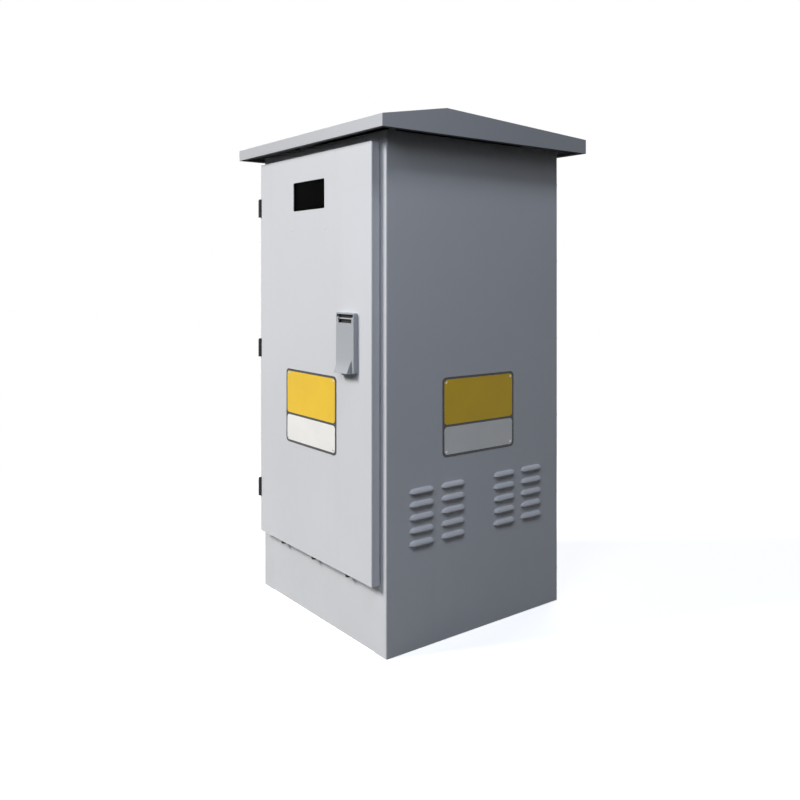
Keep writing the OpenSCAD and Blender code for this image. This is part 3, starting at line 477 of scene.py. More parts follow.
# a CAD solid's mesh with its loose triangles merged; chosen picks edges for the bevel
def mergedCopy(nodeName, chosen=None):
    mesh = bpy.data.meshes.new(nodeName + "Soft")
    work = bmesh.new()
    work.from_mesh(cadNodes[nodeName].data)
    bmesh.ops.remove_doubles(work, verts=work.verts, dist=mergeSet["gap"])
    bmesh.ops.dissolve_limit(work, angle_limit=mergeSet["flat"], verts=work.verts, edges=work.edges)
    for face in work.faces:
        face.smooth = True
        face.material_index = 0
    if chosen:
        weight = work.edges.layers.float.new("bevel_weight_edge")
        for edge in work.edges:
            edge[weight] = 1.0 if chosen(edge) else 0.0
    work.to_mesh(mesh)
    work.free()
    if "custom_normal" in mesh.attributes:
        mesh.attributes.remove(mesh.attributes["custom_normal"])
    return mesh


def dropSlivers(mesh):
    work = bmesh.new()
    work.from_mesh(mesh)
    bmesh.ops.remove_doubles(work, verts=work.verts, dist=mergeSet["gap"])
    bmesh.ops.dissolve_degenerate(work, edges=work.edges, dist=mergeSet["gap"])
    work.to_mesh(mesh)
    work.free()


def bakeModifiers(piece):
    graph = bpy.context.evaluated_depsgraph_get()
    done = bpy.data.meshes.new_from_object(piece.evaluated_get(graph), depsgraph=graph)
    piece.modifiers.clear()
    old = piece.data
    piece.data = done
    bpy.data.meshes.remove(old)


# a CAD solid with its edges broken; the edge faces take the worn finish
def softenedPiece(nodeName, width, segments, finish, edgeFinish=None, chosen=None):
    source = cadNodes[nodeName]
    mesh = mergedCopy(nodeName, chosen)
    mesh.materials.append(finish)
    if edgeFinish:
        mesh.materials.append(edgeFinish)
    piece = newObject(nodeName + "Soft", mesh)
    bevel = piece.modifiers.new("brokenEdges", "BEVEL")
    bevel.width = width
    bevel.segments = segments
    bevel.limit_method = "WEIGHT" if chosen else "ANGLE"
    bevel.angle_limit = softRule["angle"]
    bevel.material = 1 if edgeFinish else -1
    bakeModifiers(piece)
    dropSlivers(piece.data)
    if not chosen:
        weighted = piece.modifiers.new("flatFaces", "WEIGHTED_NORMAL")
        weighted.weight = softRule["weight"]
        bakeModifiers(piece)
    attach(piece, source["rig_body"])
    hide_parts(nodeName)
    return piece


hingeLevels = ("top", "middle", "bottom")
hingeNodes = [level + end for level in hingeLevels for end in ("_frame_leaf", "_door_leaf", "_hinge_pin")]
# width of the broken edge, its segments, the finish and, where there is one, the worn edge's finish
softSet = {
    ("roof",): (0.0035, 4, roofPaint, roofPaintEdge),
    ("door_panel", "plinth_panel", "header_rail"): (0.0005, 2, cabinetPaint, cabinetPaintEdge),
    ("lock_base",): (0.0012, 3, lockPaint, lockPaintEdge),
    ("lock_flap",): (0.0010, 3, lockPaint, lockPaintEdge),
    ("meter_case", "meter_cover"): (0.0015, 3, palePlastic),
    ("main_breaker",): (0.0012, 2, darkPlastic),
    ("branch_breakers",): (0.0008, 2, palePlastic),
    ("terminal_strip",): (0.0005, 2, palePlastic),
    ("main_toggle", "left_toggle", "right_toggle"): (0.0010, 3, blackPlastic),
    ("rod_guides",): (0.0010, 2, blackPlastic),
    ("floor_plate",): (0.0006, 2, zincPlate),
    ("upper_rod", "lower_rod"): (0.0005, 2, hardwareZinc),
    ("lock_cam",): (0.0004, 2, hardwareZinc),
    ("window_retainer",): (0.0003, 2, hardwareZinc),
    ("earth_bar",): (0.0005, 2, copperBar),
    ("door_drains",): (0.0006, 2, blackRubber),
    tuple(hingeNodes): (0.0005, 2, hingePaint, hingePaintEdge),
}
softPieces = {}
for nodeNames, choices in softSet.items():
    for nodeName in nodeNames:
        softPieces[nodeName] = softenedPiece(nodeName, *choices)


# a small radius round the foot of each louvre, where the hood is drawn out of the sheet
footSet = {"radius": 0.0018, "segments": 3, "slip": 0.00005, "flat": 0.999, "steep": 0.4, "sloped": 0.9}
sideFace = boxOf("top_plate")[1].x


def louvreFoot(edge):
    tilts = sorted(abs(face.normal.x) for face in edge.link_faces)
    onFace = all(abs(abs(vert.co.x) - sideFace) < footSet["slip"] for vert in edge.verts)
    return onFace and tilts[-1] > footSet["flat"] and footSet["steep"] < tilts[0] < footSet["sloped"]


# the hoods are drawn lower than the solid's, with their upper edges kept
hoodSet = {"share": 0.70, "apart": 0.008, "margin": 0.004}


def lowerHoods(mesh):
    hoods = [vert.co for vert in mesh.vertices if abs(vert.co.x) > sideFace + footSet["slip"]]
    levels = sorted(place.z for place in hoods)
    reach = max(abs(place.y) for place in hoods) + hoodSet["margin"]
    rows = [[levels[0], levels[0]]]
    for z in levels:
        if z - rows[-1][1] > hoodSet["apart"]:
            rows.append([z, z])
        rows[-1][1] = z
    for vert in mesh.vertices:
        onSheet = abs(vert.co.x) > sideFace - hoodSet["margin"] and abs(vert.co.y) < reach
        for mouth, top in rows:
            if onSheet and mouth - footSet["slip"] < vert.co.z < top + hoodSet["margin"]:
                vert.co.z = top - (top - vert.co.z) * hoodSet["share"]
                break


for nodeName in ("left_side_panel", "right_side_panel"):
    panel = softenedPiece(nodeName, footSet["radius"], footSet["segments"], cabinetPaint, chosen=louvreFoot)
    lowerHoods(panel.data)
    panel.data.set_sharp_from_angle(angle=softRule["angle"])
    for face in panel.data.polygons:
        face.use_smooth = max(abs(part) for part in face.normal) < footSet["flat"]
    softPieces[nodeName] = panel
print("edges broken on", len(softPieces), "pieces")


# painted shade under the roof: faces that point downward take a dark grey finish in place of the shade that
# falls there
downward = -0.7  # faces whose normals point below this
roofSkin = softPieces["roof"].data
roofSkin.materials.append(paintedShadeUnder)
for face in roofSkin.polygons:
    if face.normal.z < downward:
        face.material_index = len(roofSkin.materials) - 1


def addInput(tree, label, kind, value=None):
    socket = tree.interface.new_socket(label, in_out="INPUT", socket_type="NodeSocket" + kind)
    if value is not None:
        socket.default_value = value
    return socket.identifier


# a Geometry Nodes tree with a carrier mesh, named sizes and a finish as its inputs
def newTree(name, carrier, sizes):
    kinds = {int: "Int", float: "Float", tuple: "Vector"}
    tree = bpy.data.node_groups.new(name, "GeometryNodeTree")
    keys = {carrier: addInput(tree, carrier, "Geometry")}
    for label, value in sizes.items():
        keys[label] = addInput(tree, label, kinds[type(value)], value)
    keys["Finish"] = addInput(tree, "Finish", "Material")
    tree.interface.new_socket("Geometry", in_out="OUTPUT", socket_type="NodeSocketGeometry")
    return tree, keys, tree.nodes.new("NodeGroupInput")


def endTree(tree, entry, last):
    real = addNode(tree, "GeometryNodeRealizeInstances", last)
    paint = addNode(tree, "GeometryNodeSetMaterial", real, Material=(entry, "Finish"))
    addNode(tree, "NodeGroupOutput", paint)


# a piece that one tree makes from a carrier mesh, turned into a plain mesh
def grownPiece(name, mesh, grower, values):
    tree, keys = grower
    piece = newObject(name, mesh)
    modifier = piece.modifiers.new(name, "NODES")
    modifier.node_group = tree
    for label, value in values.items():
        modifier[keys[label]] = value
    bakeModifiers(piece)
    return piece


carve = {"operation": "DIFFERENCE", "solver": "EXACT"}
quarterTurn = math.pi / 2
eighthTurn = math.pi / 4
fieldMarks = {"facing": "FLOAT_VECTOR", "spin": "FLOAT", "stretch": "FLOAT_VECTOR"}


# tree that sets one small shape on every point of a carrier mesh, turned and stretched by its marks
def fieldTree(name, sizes, makeShape):
    tree, keys, entry = newTree(name, "Points", sizes | {"Spin Share": 0.0, "Seed": 7})
    marks = {}
    for label, kind in fieldMarks.items():
        node = addNode(tree, "GeometryNodeInputNamedAttribute", settings={"data_type": kind}, Name=label)
        marks[label] = (node, "Attribute")
    align = addNode(tree, "FunctionNodeAlignRotationToVector", settings={"axis": "Z"},
                    Vector=marks["facing"])
    place = addNode(tree, "GeometryNodeInstanceOnPoints", Points=(entry, "Points"),
                    Instance=makeShape(tree, entry), Rotation=align, Scale=marks["stretch"])
    chance = addNode(tree, "FunctionNodeRandomValue", Seed=(entry, "Seed"))
    feed(tree, 2 * math.pi, chance.inputs[3])  # its greatest value
    loose = mathOf(tree, "MULTIPLY", (chance, 1), (entry, "Spin Share"))
    turn = mathOf(tree, "ADD", marks["spin"], loose)
    rotate = addNode(tree, "GeometryNodeRotateInstances", place, Rotation=vectorOf(tree, z=turn))
    endTree(tree, entry, rotate)
    return tree, keys


def domeShape(tree, entry):
    ball = addNode(tree, "GeometryNodeMeshUVSphere", Segments=18, Rings=9, Radius=1.0)
    size = vectorOf(tree, (entry, "Radius"), (entry, "Radius"), (entry, "Height"))
    sized = addNode(tree, "GeometryNodeTransform", ball, Scale=size)
    return addNode(tree, "GeometryNodeSetShadeSmooth", sized)


# screw head: a low cone with two crossed V grooves; sizes are shares of its radius
recessSet = {"top": 0.82, "long": 1.15, "wide": 0.28}


def screwShape(tree, entry):
    radius = (entry, "Radius")
    parts = {name: mathOf(tree, "MULTIPLY", radius, share) for name, share in recessSet.items()}
    long, wide = parts["long"], parts["wide"]
    head = addNode(tree, "GeometryNodeMeshCone", Vertices=20, Radius_Top=parts["top"], Radius_Bottom=radius,
                   Depth=(entry, "Height"))
    cut = addNode(tree, "GeometryNodeMeshBoolean", head, settings=carve)
    up = vectorOf(tree, z=(entry, "Height"))
    for size, tilt in (((long, wide, wide), (eighthTurn, 0, 0)), ((wide, long, wide), (0, eighthTurn, 0))):
        bar = addNode(tree, "GeometryNodeMeshCube", vectorOf(tree, *size))
        raised = addNode(tree, "GeometryNodeTransform", bar, Translation=up, Rotation=tilt)
        feed(tree, raised, cut.inputs[1])
    return addNode(tree, "GeometryNodeMergeByDistance", cut, Distance=mergeSet["gap"])


# ring of round wire
def ringShape(tree, entry):
    path = addNode(tree, "GeometryNodeCurvePrimitiveCircle", Resolution=24, Radius=(entry, "Radius"))
    wire = addNode(tree, "GeometryNodeCurvePrimitiveCircle", Resolution=6, Radius=(entry, "Wire"))
    return addNode(tree, "GeometryNodeCurveToMesh", path, Profile_Curve=wire)


def barShape(tree, entry):
    size = vectorOf(tree, (entry, "Length"), (entry, "Width"), (entry, "Height"))
    return addNode(tree, "GeometryNodeMeshCube", size)


domeField = fieldTree("domeField", {"Radius": 0.004, "Height": 0.001}, domeShape)
screwField = fieldTree("screwField", {"Radius": 0.003, "Height": 0.0015}, screwShape)
barField = fieldTree("barField", {"Length": 0.01, "Width": 0.002, "Height": 0.001}, barShape)
ringField = fieldTree("ringField", {"Radius": 0.002, "Wire": 0.0004}, ringShape)
frontward = (0, -1, 0)
rearward = (0, 1, 0)
plain = (1, 1, 1)
roomBody = cadNodes["mounting_plate"]["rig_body"]
doorBody = cadNodes["door_panel"]["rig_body"]


# one point of a field: its place, the way it faces, its turn and its stretch
def spot(x, y, z, facing=frontward, turn=0, stretch=plain):
    return (x, y, z), facing, turn, stretch


def roundSizes(look):
    return {"Radius": look["radius"], "Height": look["height"]}


def barSizes(long=1.0, wide=1.0, high=1.0):
    return {"Length": long, "Width": wide, "Height": high}


# points: a list of spots; sizes: the tree's named inputs
def fieldPiece(name, field, points, sizes, finish, body):
    mesh = bpy.data.meshes.new(name)
    mesh.from_pydata([point[0] for point in points], [], [])
    for label, kind in fieldMarks.items():
        mesh.attributes.new(label, kind, "POINT")
    for i, (place, facing, turn, stretch) in enumerate(points):
        mesh.attributes["facing"].data[i].vector = facing
        mesh.attributes["spin"].data[i].value = turn
        mesh.attributes["stretch"].data[i].vector = stretch
    piece = grownPiece(name, mesh, field, dict(sizes, Finish=finish))
    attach(piece, body)
    return piece


# a piece made by a tree of its own, put in a CAD node's place
def standInPiece(name, mesh, grower, values, nodeName):
    piece = grownPiece(name, mesh, grower, values)
    piece.data.set_sharp_from_angle(angle=softRule["angle"])
    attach(piece, cadNodes[nodeName]["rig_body"])
    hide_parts(nodeName)


# poured foam seal: half an ellipse swept round the door, its crest toward the rain lip
sealSet = {"Width": 0.014, "Height": 0.0117, "Corner": 0.010}


def sealTree():
    tree, keys, entry = newTree("pouredSeal", "Path", sealSet)
    line = addNode(tree, "GeometryNodeMeshToCurve", (entry, "Path"))
    corners = addNode(tree, "GeometryNodeFilletCurve", line, settings={"mode": "POLY"}, Count=8,
                      Radius=(entry, "Corner"))
    crest = addNode(tree, "GeometryNodeSetCurveNormal", corners, settings={"mode": "FREE"}, Normal=rearward)
    arc = addNode(tree, "GeometryNodeCurveArc", Resolution=15, Radius=1.0, Start_Angle=-quarterTurn,
                  Sweep_Angle=math.pi)
    half = mathOf(tree, "MULTIPLY", (entry, "Width"), 0.5)
    section = addNode(tree, "GeometryNodeTransform", arc, Scale=vectorOf(tree, (entry, "Height"), half, 1.0))
    shut = addNode(tree, "GeometryNodeSetSplineCyclic", section, Cyclic=True)
    swept = addNode(tree, "GeometryNodeCurveToMesh", crest, Profile_Curve=shut)
    endTree(tree, entry, addNode(tree, "GeometryNodeSetShadeSmooth", swept))
    return tree, keys


def makeSeal():
    low, high = boxOf("door_gasket")
    half = sealSet["Width"] / 2
    left, right = low.x + half, high.x - half
    foot, head = low.z + half, high.z - half
    mesh = bpy.data.meshes.new("doorSeal")
    mesh.from_pydata([(left, low.y, foot), (right, low.y, foot), (right, low.y, head), (left, low.y, head)],
                     [(0, 1), (1, 2), (2, 3), (3, 0)], [])
    standInPiece("doorSeal", mesh, sealTree(), dict(sealSet, Finish=blackRubber), "door_gasket")


# long slots punched through the webs of both rails
slotSet = {"Slot Length": 0.015, "Slot Width": 0.0062, "Cut": 0.004, "Count": 16}


def slotTree(places):
    tree, keys, entry = newTree("punchedRail", "Rails", slotSet | places)
    ends = tree.nodes.new("GeometryNodeJoinGeometry")
    spare = mathOf(tree, "SUBTRACT", (entry, "Slot Length"), (entry, "Slot Width"))
    radius = mathOf(tree, "MULTIPLY", (entry, "Slot Width"), 0.5)
    for side in (-0.5, 0.5):
        end = addNode(tree, "GeometryNodeMeshCylinder", Vertices=16, Radius=radius, Depth=(entry, "Cut"))
        aside = vectorOf(tree, mathOf(tree, "MULTIPLY", spare, side))
        moved = addNode(tree, "GeometryNodeTransform", end, Translation=aside, Rotation=(quarterTurn, 0, 0))
        feed(tree, moved, ends.inputs[0])
    slot = addNode(tree, "GeometryNodeConvexHull", ends)
    cut = addNode(tree, "GeometryNodeMeshBoolean", (entry, "Rails"), settings=carve)
    for label in ("Upper Start", "Lower Start"):
        row = addNode(tree, "GeometryNodeMeshLine", Count=(entry, "Count"), Start_Location=(entry, label),
                      Offset=(entry, "Pitch"))
        place = addNode(tree, "GeometryNodeInstanceOnPoints", row, Instance=slot)
        feed(tree, addNode(tree, "GeometryNodeRealizeInstances", place), cut.inputs[1])
    endTree(tree, entry, cut)
    return tree, keys


def makeRails():
    low, high = boxOf("mounting_rails")
    upper = midOf("branch_breakers").z
    lower = low.z + high.z - upper
    columns = evenPlaces(low.x, high.x, slotSet["Count"])
    places = {
        "Upper Start": (columns[0], high.y, upper),
        "Lower Start": (columns[0], high.y, lower),
        "Pitch": (columns[1] - columns[0], 0.0, 0.0),
    }
    mesh = mergedCopy("mounting_rails")
    mesh.materials.append(railZinc)
    values = dict(slotSet | places, Finish=railZinc)
    standInPiece("punchedRails", mesh, slotTree(places), values, "mounting_rails")


# domed heads outside and upset tails inside, in place of the plain rivets
rivetSet = {"rows": 6, "end": 0.090, "inset": 0.014, "radius": 0.0045, "height": 0.0018, "tail": 0.76}


def makeRivets():
    high = boxOf("right_side_panel")[1]
    back = boxOf("back_panel")[0].y
    points = []
    for i in range(rivetSet["rows"]):
        z = rivetSet["end"] + i * (high.z - 2 * rivetSet["end"]) / (rivetSet["rows"] - 1)
        for x in (rivetSet["inset"] - high.x, high.x - rivetSet["inset"]):
            points.append(spot(x, high.y, z, rearward))
            points.append(spot(x, back, z, stretch=[rivetSet["tail"]] * 3))
    sizes = roundSizes(rivetSet)
    piece = fieldPiece("backRivets", domeField, points, sizes, cabinetPaint, roomBody)
    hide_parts("back_rivets")


# faint stud-weld marks that show through the door's paint under the window
studSet = {"places": (-0.097, 0.070), "z": 1.033, "radius": 0.0045, "height": 0.0005}
doorFace = boxOf("door_panel")[0].y


def makeStudMarks():
    points = [spot(x, doorFace, studSet["z"]) for x in studSet["places"]]
    fieldPiece("studMarks", domeField, points, roundSizes(studSet), cabinetPaint, doorBody)


# ledge is a share of the housing's depth, from its back; end is a share of its height, from either end
screwSet = {
    "hinge": {"inset": 0.0095, "sheet": 0.003, "span": 0.030, "radius": 0.0034, "height": 0.0014},
    "main": {"count": 3, "ledge": 0.62, "end": 0.07, "radius": 0.0062, "height": 0.0022},
    "branch": {"count": 3, "ledge": 0.62, "end": 0.07, "radius": 0.0033, "height": 0.0014},
    "strip": {"count": 14, "ledge": 0.75, "end": 0.125, "radius": 0.0038, "height": 0.0014},
    "bar": {"count": 9, "under": 0.003, "radius": 0.0052, "height": 0.0044},
    "meter": {"inset": 0.012, "up": 0.022, "radius": 0.0034, "height": 0.0016},
}
screwTurns = {"Spin Share": 1.0, "Seed": 11}


# screws on a housing's upper and lower ledges, evenly along each span
def ledgeScrews(low, high, spans, look):
    y = high.y - (high.y - low.y) * look["ledge"]
    inset = (high.z - low.z) * look["end"]
    points = []
    for left, right in spans:
        for x in evenPlaces(left, right, look["count"]):
            points += [spot(x, y, z) for z in (low.z + inset, high.z - inset)]
    return points


def makeScrews():
    def put(name, points, look, finish=plainSteel, slot="steel"):
        fieldPiece(name, screwField, points, roundSizes(look) | screwTurns, finish, roomBody)

    look = screwSet["hinge"]
    for level in hingeLevels:
        low, high = boxOf(level + "_frame_leaf")
        mid = (low.z + high.z) / 2
        points = []
        for up in (-look["span"] / 2, look["span"] / 2):
            points.append(spot(low.x + look["inset"], high.y - look["sheet"], mid + up))
        put(level + "LeafScrews", points, look, hingePaint, "hinge_black")

    housings = {"main": "main_breaker", "branch": "branch_breakers", "strip": "terminal_strip"}
    for name, nodeName in housings.items():
        low, high = boxOf(nodeName)
        spans = [(low.x, high.x)]
        if name == "branch":  # two groups, each centred on its toggle
            left, right = midOf("left_toggle").x, midOf("right_toggle").x
            spans = [(low.x, 2 * left - low.x), (2 * right - high.x, high.x)]
        put(name + "Screws", ledgeScrews(low, high, spans, screwSet[name]), screwSet[name])

    look = screwSet["bar"]
    low, high = boxOf("earth_bar")
    mid = (low.z + high.z) / 2
    columns = evenPlaces(low.x, high.x, look["count"])
    put("barScrews", [spot(x, low.y + look["under"], mid) for x in columns], look)

    look = screwSet["meter"]
    low, high = boxOf("meter_case")
    columns = (low.x + look["inset"], high.x - look["inset"])
    put("meterScrews", [spot(x, low.y, low.z + look["up"]) for x in columns], look)


# noughts on the meter's display, each of six bars; row, side and cap are shares
digitSet = {
    "count": 6, "tall": 0.019, "wide": 0.0085, "bar": 0.0013, "thick": 0.0003,
    "row": 0.86, "side": 0.86, "cap": 0.7,
}


def makeDigits():
    low, high = boxOf("meter_display")
    mid = midOf("meter_display")
    reach = (high.x - low.x) * digitSet["row"] / 2
    half = digitSet["tall"] / 2
    points = []
    for x in evenPlaces(mid.x - reach, mid.x + reach, digitSet["count"]):
        for up in (-half, half):
            points.append(spot(x, low.y, mid.z + up, stretch=(digitSet["cap"], 1, 1)))
            for aside in (-digitSet["wide"] / 2, digitSet["wide"] / 2):
                points.append(spot(x + aside, low.y, mid.z + up / 2, turn=quarterTurn))
    sizes = barSizes(half * digitSet["side"], digitSet["bar"], digitSet["thick"])
    fieldPiece("meterDigits", barField, points, sizes, blackPlastic, roomBody)


# wire guards over the inner faces of the two vent filters
guardSet = {"across": 9, "up": 18, "wire": 0.0016}


def makeGuards():
    for side, nodeName in ((-1, "left_vent_filter"), (1, "right_vent_filter")):
        low, high = boxOf(nodeName)
        mid = midOf(nodeName)
        size = high - low
        x = low.x if side > 0 else high.x
        inward = (-side, 0, 0)
        points = []
        for z in evenPlaces(low.z, high.z, guardSet["across"]):
            points.append(spot(x, mid.y, z, inward, quarterTurn, (size.y, 1, 1)))
        for y in evenPlaces(low.y, high.y, guardSet["up"]):
            points.append(spot(x, y, mid.z, inward, 0, (size.z, 1, 1)))
        sizes = barSizes(wide=guardSet["wire"], high=guardSet["wire"])
        fieldPiece(nodeName + "Guard", barField, points, sizes, zincPlate, roomBody)


# plain marks by the switches: a bar for on, a ring for off
# reach and tall are shares of the breaker's height, line is a share of the mark's
markSet = {"reach": 0.18, "tall": 0.036, "line": 0.20, "thick": 0.0005}


def makeMarks():
    def put(name, nodeName, toggleNames, finish, slot):
        low, high = boxOf(nodeName)
        mid = (low.z + high.z) / 2
        reach = markSet["reach"] * (high.z - low.z)
        tall = markSet["tall"] * (high.z - low.z)
        size = (tall, markSet["line"] * tall, markSet["thick"])
        columns = [midOf(toggleName).x for toggleName in toggleNames]
        bars = [spot(x, low.y, mid + reach, turn=quarterTurn, stretch=size) for x in columns]
        rings = [spot(x, low.y, mid - reach, stretch=[tall / 2] * 3) for x in columns]
        ringSizes = {"Radius": 1.0, "Wire": markSet["line"]}
        fieldPiece(name + "OnMarks", barField, bars, barSizes(), finish, roomBody)
        fieldPiece(name + "OffMarks", ringField, rings, ringSizes, finish, roomBody)

    put("main", "main_breaker", ["main_toggle"], palePlastic, "pale_plastic")
    put("branch", "branch_breakers", ["left_toggle", "right_toggle"], blackPlastic, "black_plastic")


# blank marker tags on the terminals
tagSet = {"count": 14, "wide": 0.0085, "tall": 0.010, "thick": 0.0012}


def makeTags():
    low, high = boxOf("terminal_strip")
    mid = (low.z + high.z) / 2
    points = [spot(x, low.y, mid) for x in evenPlaces(low.x, high.x, tagSet["count"])]
    sizes = barSizes(tagSet["wide"], tagSet["tall"], tagSet["thick"])
    fieldPiece("terminalTags", barField, points, sizes, palePlate, roomBody)


# spot welds along the brims of the door's stiffeners
weldSet = {"wide": 0.042, "brim": 0.009, "sheet": 0.0015, "count": 12, "radius": 0.0032, "height": 0.0007}


def makeWelds():
    low, high = boxOf("door_stiffeners")
    inset = weldSet["brim"] / 2
    points = []
    for edge in (low.x, high.x - weldSet["wide"]):
        for x in (edge + inset, edge + weldSet["wide"] - inset):
            for z in evenPlaces(low.z, high.z, weldSet["count"]):
                points.append(spot(x, low.y + weldSet["sheet"], z, rearward))
    fieldPiece("spotWelds", domeField, points, roundSizes(weldSet), cabinetPaint, doorBody)


# ribs on the meter's terminal cover and two small lamps beside its display
meterSet = {
    "ribs": {"count": 4, "low": 0.10, "high": 0.24, "share": 0.54, "width": 0.0016, "height": 0.0020},
    "lamps": {"across": 0.86, "up": (0.46, 0.62), "radius": 0.0024, "height": 0.0020},
}


def makeMeterDetails():
    ribs = meterSet["ribs"]
    low, high = boxOf("meter_case")
    mid = (low.x + high.x) / 2
    wide, tall = high.x - low.x, high.z - low.z
    levels = evenPlaces(low.z + tall * ribs["low"], low.z + tall * ribs["high"], ribs["count"])
    sizes = barSizes(wide * ribs["share"], ribs["width"], ribs["height"])
    points = [spot(mid, low.y, z) for z in levels]
    fieldPiece("meterRibs", barField, points, sizes, palePlastic, roomBody)

    lamps = meterSet["lamps"]
    low, high = boxOf("meter_cover")
    x = low.x + (high.x - low.x) * lamps["across"]
    points = [spot(x, low.y, low.z + (high.z - low.z) * up) for up in lamps["up"]]
    fieldPiece("meterLamps", domeField, points, roundSizes(lamps), redLens, roomBody)


# a board with round corners between two corners of a face; placeOf turns (across, up, out) into a place
def boardPiece(name, finish, body, low, high, corner, thick, placeOf):
    mesh = bpy.data.meshes.new(name)
    work = bmesh.new()
    outline = [(low[0], low[1]), (high[0], low[1]), (high[0], high[1]), (low[0], high[1])]
    base = work.faces.new([work.verts.new(placeOf(across, up, 0)) for across, up in outline])
    bmesh.ops.bevel(work, geom=list(base.verts), offset=corner, segments=6, profile=0.5, affect="VERTICES")
    grown = bmesh.ops.extrude_face_region(work, geom=list(work.faces))
    lifted = [item for item in grown["geom"] if isinstance(item, bmesh.types.BMVert)]
    out = Vector(placeOf(0, 0, thick)) - Vector(placeOf(0, 0, 0))
    bmesh.ops.translate(work, verts=lifted, vec=out)
    bmesh.ops.recalc_face_normals(work, faces=work.faces)
    work.to_mesh(mesh)
    work.free()
    mesh.materials.append(finish)
    piece = newObject(name, mesh)
    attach(piece, body)


# blank two-tone plates on the door and the right side: amber head, pale foot, dark rim, four rivets
plateSet = {
    "wide": 0.250, "tall": 0.200, "foot": 0.075, "rim": 0.006, "corner": 0.012, "z": 0.455,
    "thick": 0.0006, "raised": 0.0009,
}
plateRivet = {"inset": 0.013, "radius": 0.0030, "height": 0.0012}


def makePlate(name, body, facing, placeOf):
    half = plateSet["wide"] / 2
    rim = plateSet["rim"]
    tall = plateSet["tall"]
    foot = plateSet["foot"]
    raised = plateSet["raised"]
    corner = plateSet["corner"]
    inner = corner - rim / 2
    boardPiece(name + "Rim", rimPlate, body, (-half, 0), (half, tall), corner, plateSet["thick"], placeOf)
    boards = {"Foot": (palePlate, rim, foot), "Head": (amberPlate, foot + rim, tall - rim)}
    for part, (finish, low, high) in boards.items():
        boardPiece(name + part, finish, body, (rim - half, low), (half - rim, high), inner, raised, placeOf)
    inset = plateRivet["inset"]
    points = []
    for across in (inset - half, half - inset):
        for up in (inset, tall - inset):
            points.append(spot(*placeOf(across, up, raised), facing))
    fieldPiece(name + "Rivets", domeField, points, roundSizes(plateRivet), zincPlate, body)


def onDoor(across, up, out):
    return across, doorFace - out, plateSet["z"] + up


def onSide(across, up, out):
    return sideFace + out, across, plateSet["z"] + up


makePlate("doorPlate", doorBody, frontward, onDoor)
makePlate("sidePlate", roomBody, (1, 0, 0), onSide)
print("plates set")


# blank labels on the meter and the main breaker; low and high are shares of the face they sit on
labelSet = {
    "meter_cover": {"low": (0.08, 0.09), "high": (0.68, 0.28), "corner": 0.0015, "thick": 0.0004},
    "main_breaker": {"low": (0.71, 0.44), "high": (0.94, 0.56), "corner": 0.0015, "thick": 0.0004},
}


def makeLabels():
    for nodeName, look in labelSet.items():
        low, high = boxOf(nodeName)
        size = high - low

        def placeOf(across, up, out):
            return low.x + across, low.y - out, low.z + up

        first, second = ((look[end][0] * size.x, look[end][1] * size.z) for end in ("low", "high"))
        boardPiece(nodeName + "Label", palePlate, roomBody, first, second, look["corner"], look["thick"],
                   placeOf)


makeSeal()
makeRails()
makeRivets()
makeStudMarks()
makeScrews()
makeDigits()
makeGuards()
makeMarks()
makeTags()
makeWelds()
makeMeterDetails()
makeLabels()
print("repeated details set")


# 1 for what the camera sees straight, in a gloss or through the pane
def seenRays(tree):
    path = tree.nodes.new("ShaderNodeLightPath")
    seen = mathOf(tree, "MAXIMUM", (path, "Is Camera Ray"), (path, "Is Glossy Ray"))
    return mathOf(tree, "MAXIMUM", seen, (path, "Is Transmission Ray"))


# floor: white to the camera, with the cabinet's shadow kept near it
floorSet = {"reach": 30, "near": 1.0, "far": 2.4, "bounce": 0.09, "pale": 0.80, "lift": 0.61}


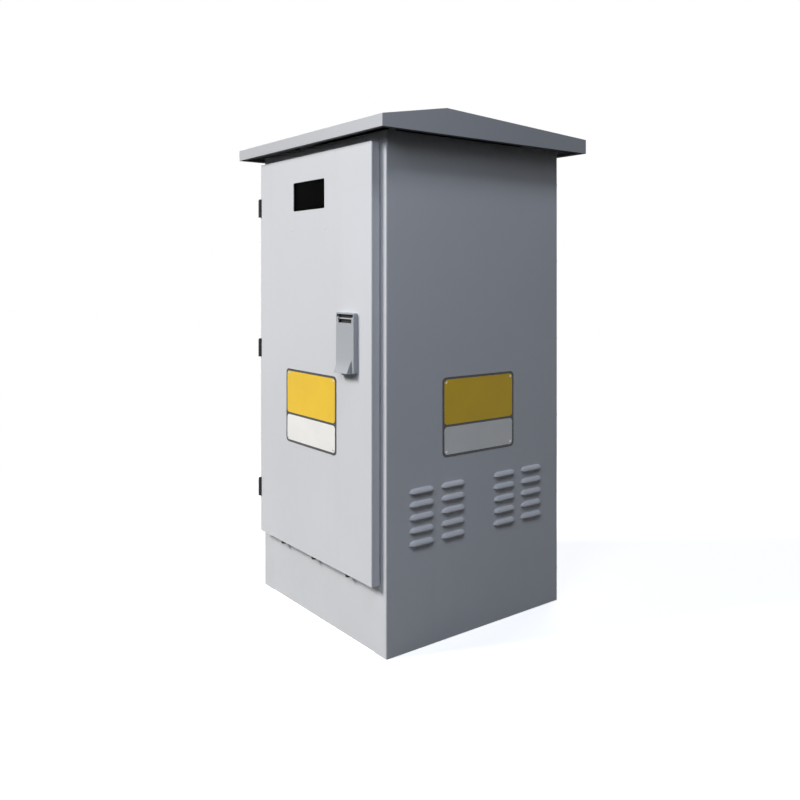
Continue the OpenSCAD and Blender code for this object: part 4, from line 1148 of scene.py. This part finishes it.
def makeFloor():
    mesh = bpy.data.meshes.new("studioFloor")
    reach = floorSet["reach"]
    corners = [(-reach, -reach, 0), (reach, -reach, 0), (reach, reach, 0), (-reach, reach, 0)]
    mesh.from_pydata(corners, [], [(0, 1, 2, 3)])
    floor = newObject("studioFloor", mesh)
    finish = bpy.data.materials.new("studioFloor")
    finish.use_nodes = True
    tree = finish.node_tree
    tree.nodes.clear()
    seen = seenRays(tree)
    coord = tree.nodes.new("ShaderNodeTexCoord")
    far = addNode(tree, "ShaderNodeVectorMath", (coord, "Object"), settings={"operation": "LENGTH"})
    away = rangeOf(tree, (far, "Value"), (floorSet["near"], floorSet["far"]))
    colour = mixColour(tree, seen, [floorSet["bounce"]] * 3, [floorSet["pale"]] * 3)
    matt = addNode(tree, "ShaderNodeBsdfDiffuse", colour)
    lift = addNode(tree, "ShaderNodeEmission", Strength=mathOf(tree, "MULTIPLY", seen, floorSet["lift"]))
    near = addNode(tree, "ShaderNodeAddShader", matt, lift)
    white = addNode(tree, "ShaderNodeEmission", Strength=seen)
    both = addNode(tree, "ShaderNodeMixShader", away, near, white)
    addNode(tree, "ShaderNodeOutputMaterial", both)
    mesh.materials.append(finish)


# world: a faint cool fill, white where the camera sees it
worldSet = {"fill": 0.05, "tint": (0.86, 0.94, 1.08)}


def makeWorld():
    world = bpy.data.worlds.new("studioWorld")
    scene.world = world
    world.use_nodes = True
    tree = world.node_tree
    tree.nodes.clear()
    fill = addNode(tree, "ShaderNodeBackground", (*worldSet["tint"], 1), Strength=worldSet["fill"])
    white = addNode(tree, "ShaderNodeBackground", (1, 1, 1, 1), Strength=1.0)
    both = addNode(tree, "ShaderNodeMixShader", seenRays(tree), fill, white)
    addNode(tree, "ShaderNodeOutputWorld", both)


lampAim = Vector((0.1, -0.2, 0.65))
lampSet = {
    "keyLamp": {"place": (-5.1, -9.9, 8.1), "size": 4.0, "power": 2000, "tint": (1.0, 0.985, 0.97)},
    "sideLamp": {"place": (1.15, -1.75, 2.0), "size": 0.8, "power": 12.5, "tint": (0.86, 0.93, 1.08)},
    "topLamp": {"place": (4.0, -1.4, 8.0), "size": 2.0, "power": 200, "tint": (0.86, 0.93, 1.08)},
    "backLamp": {"place": (-3.0, 6.0, 3.6), "size": 4.0, "power": 190, "tint": (0.95, 0.97, 1.0)},
}


def makeLamps():
    for name, lamp in lampSet.items():
        data = bpy.data.lights.new(name, "AREA")
        data.shape = "SQUARE"
        data.size = lamp["size"]
        data.energy = lamp["power"]
        data.color = lamp["tint"]
        lampObject = newObject(name, data)
        lampObject.location = lamp["place"]
        heading = lampAim - Vector(lamp["place"])
        lampObject.rotation_euler = heading.to_track_quat("-Z", "Y").to_euler()


makeFloor()
makeWorld()
makeLamps()
print("floor and light set")
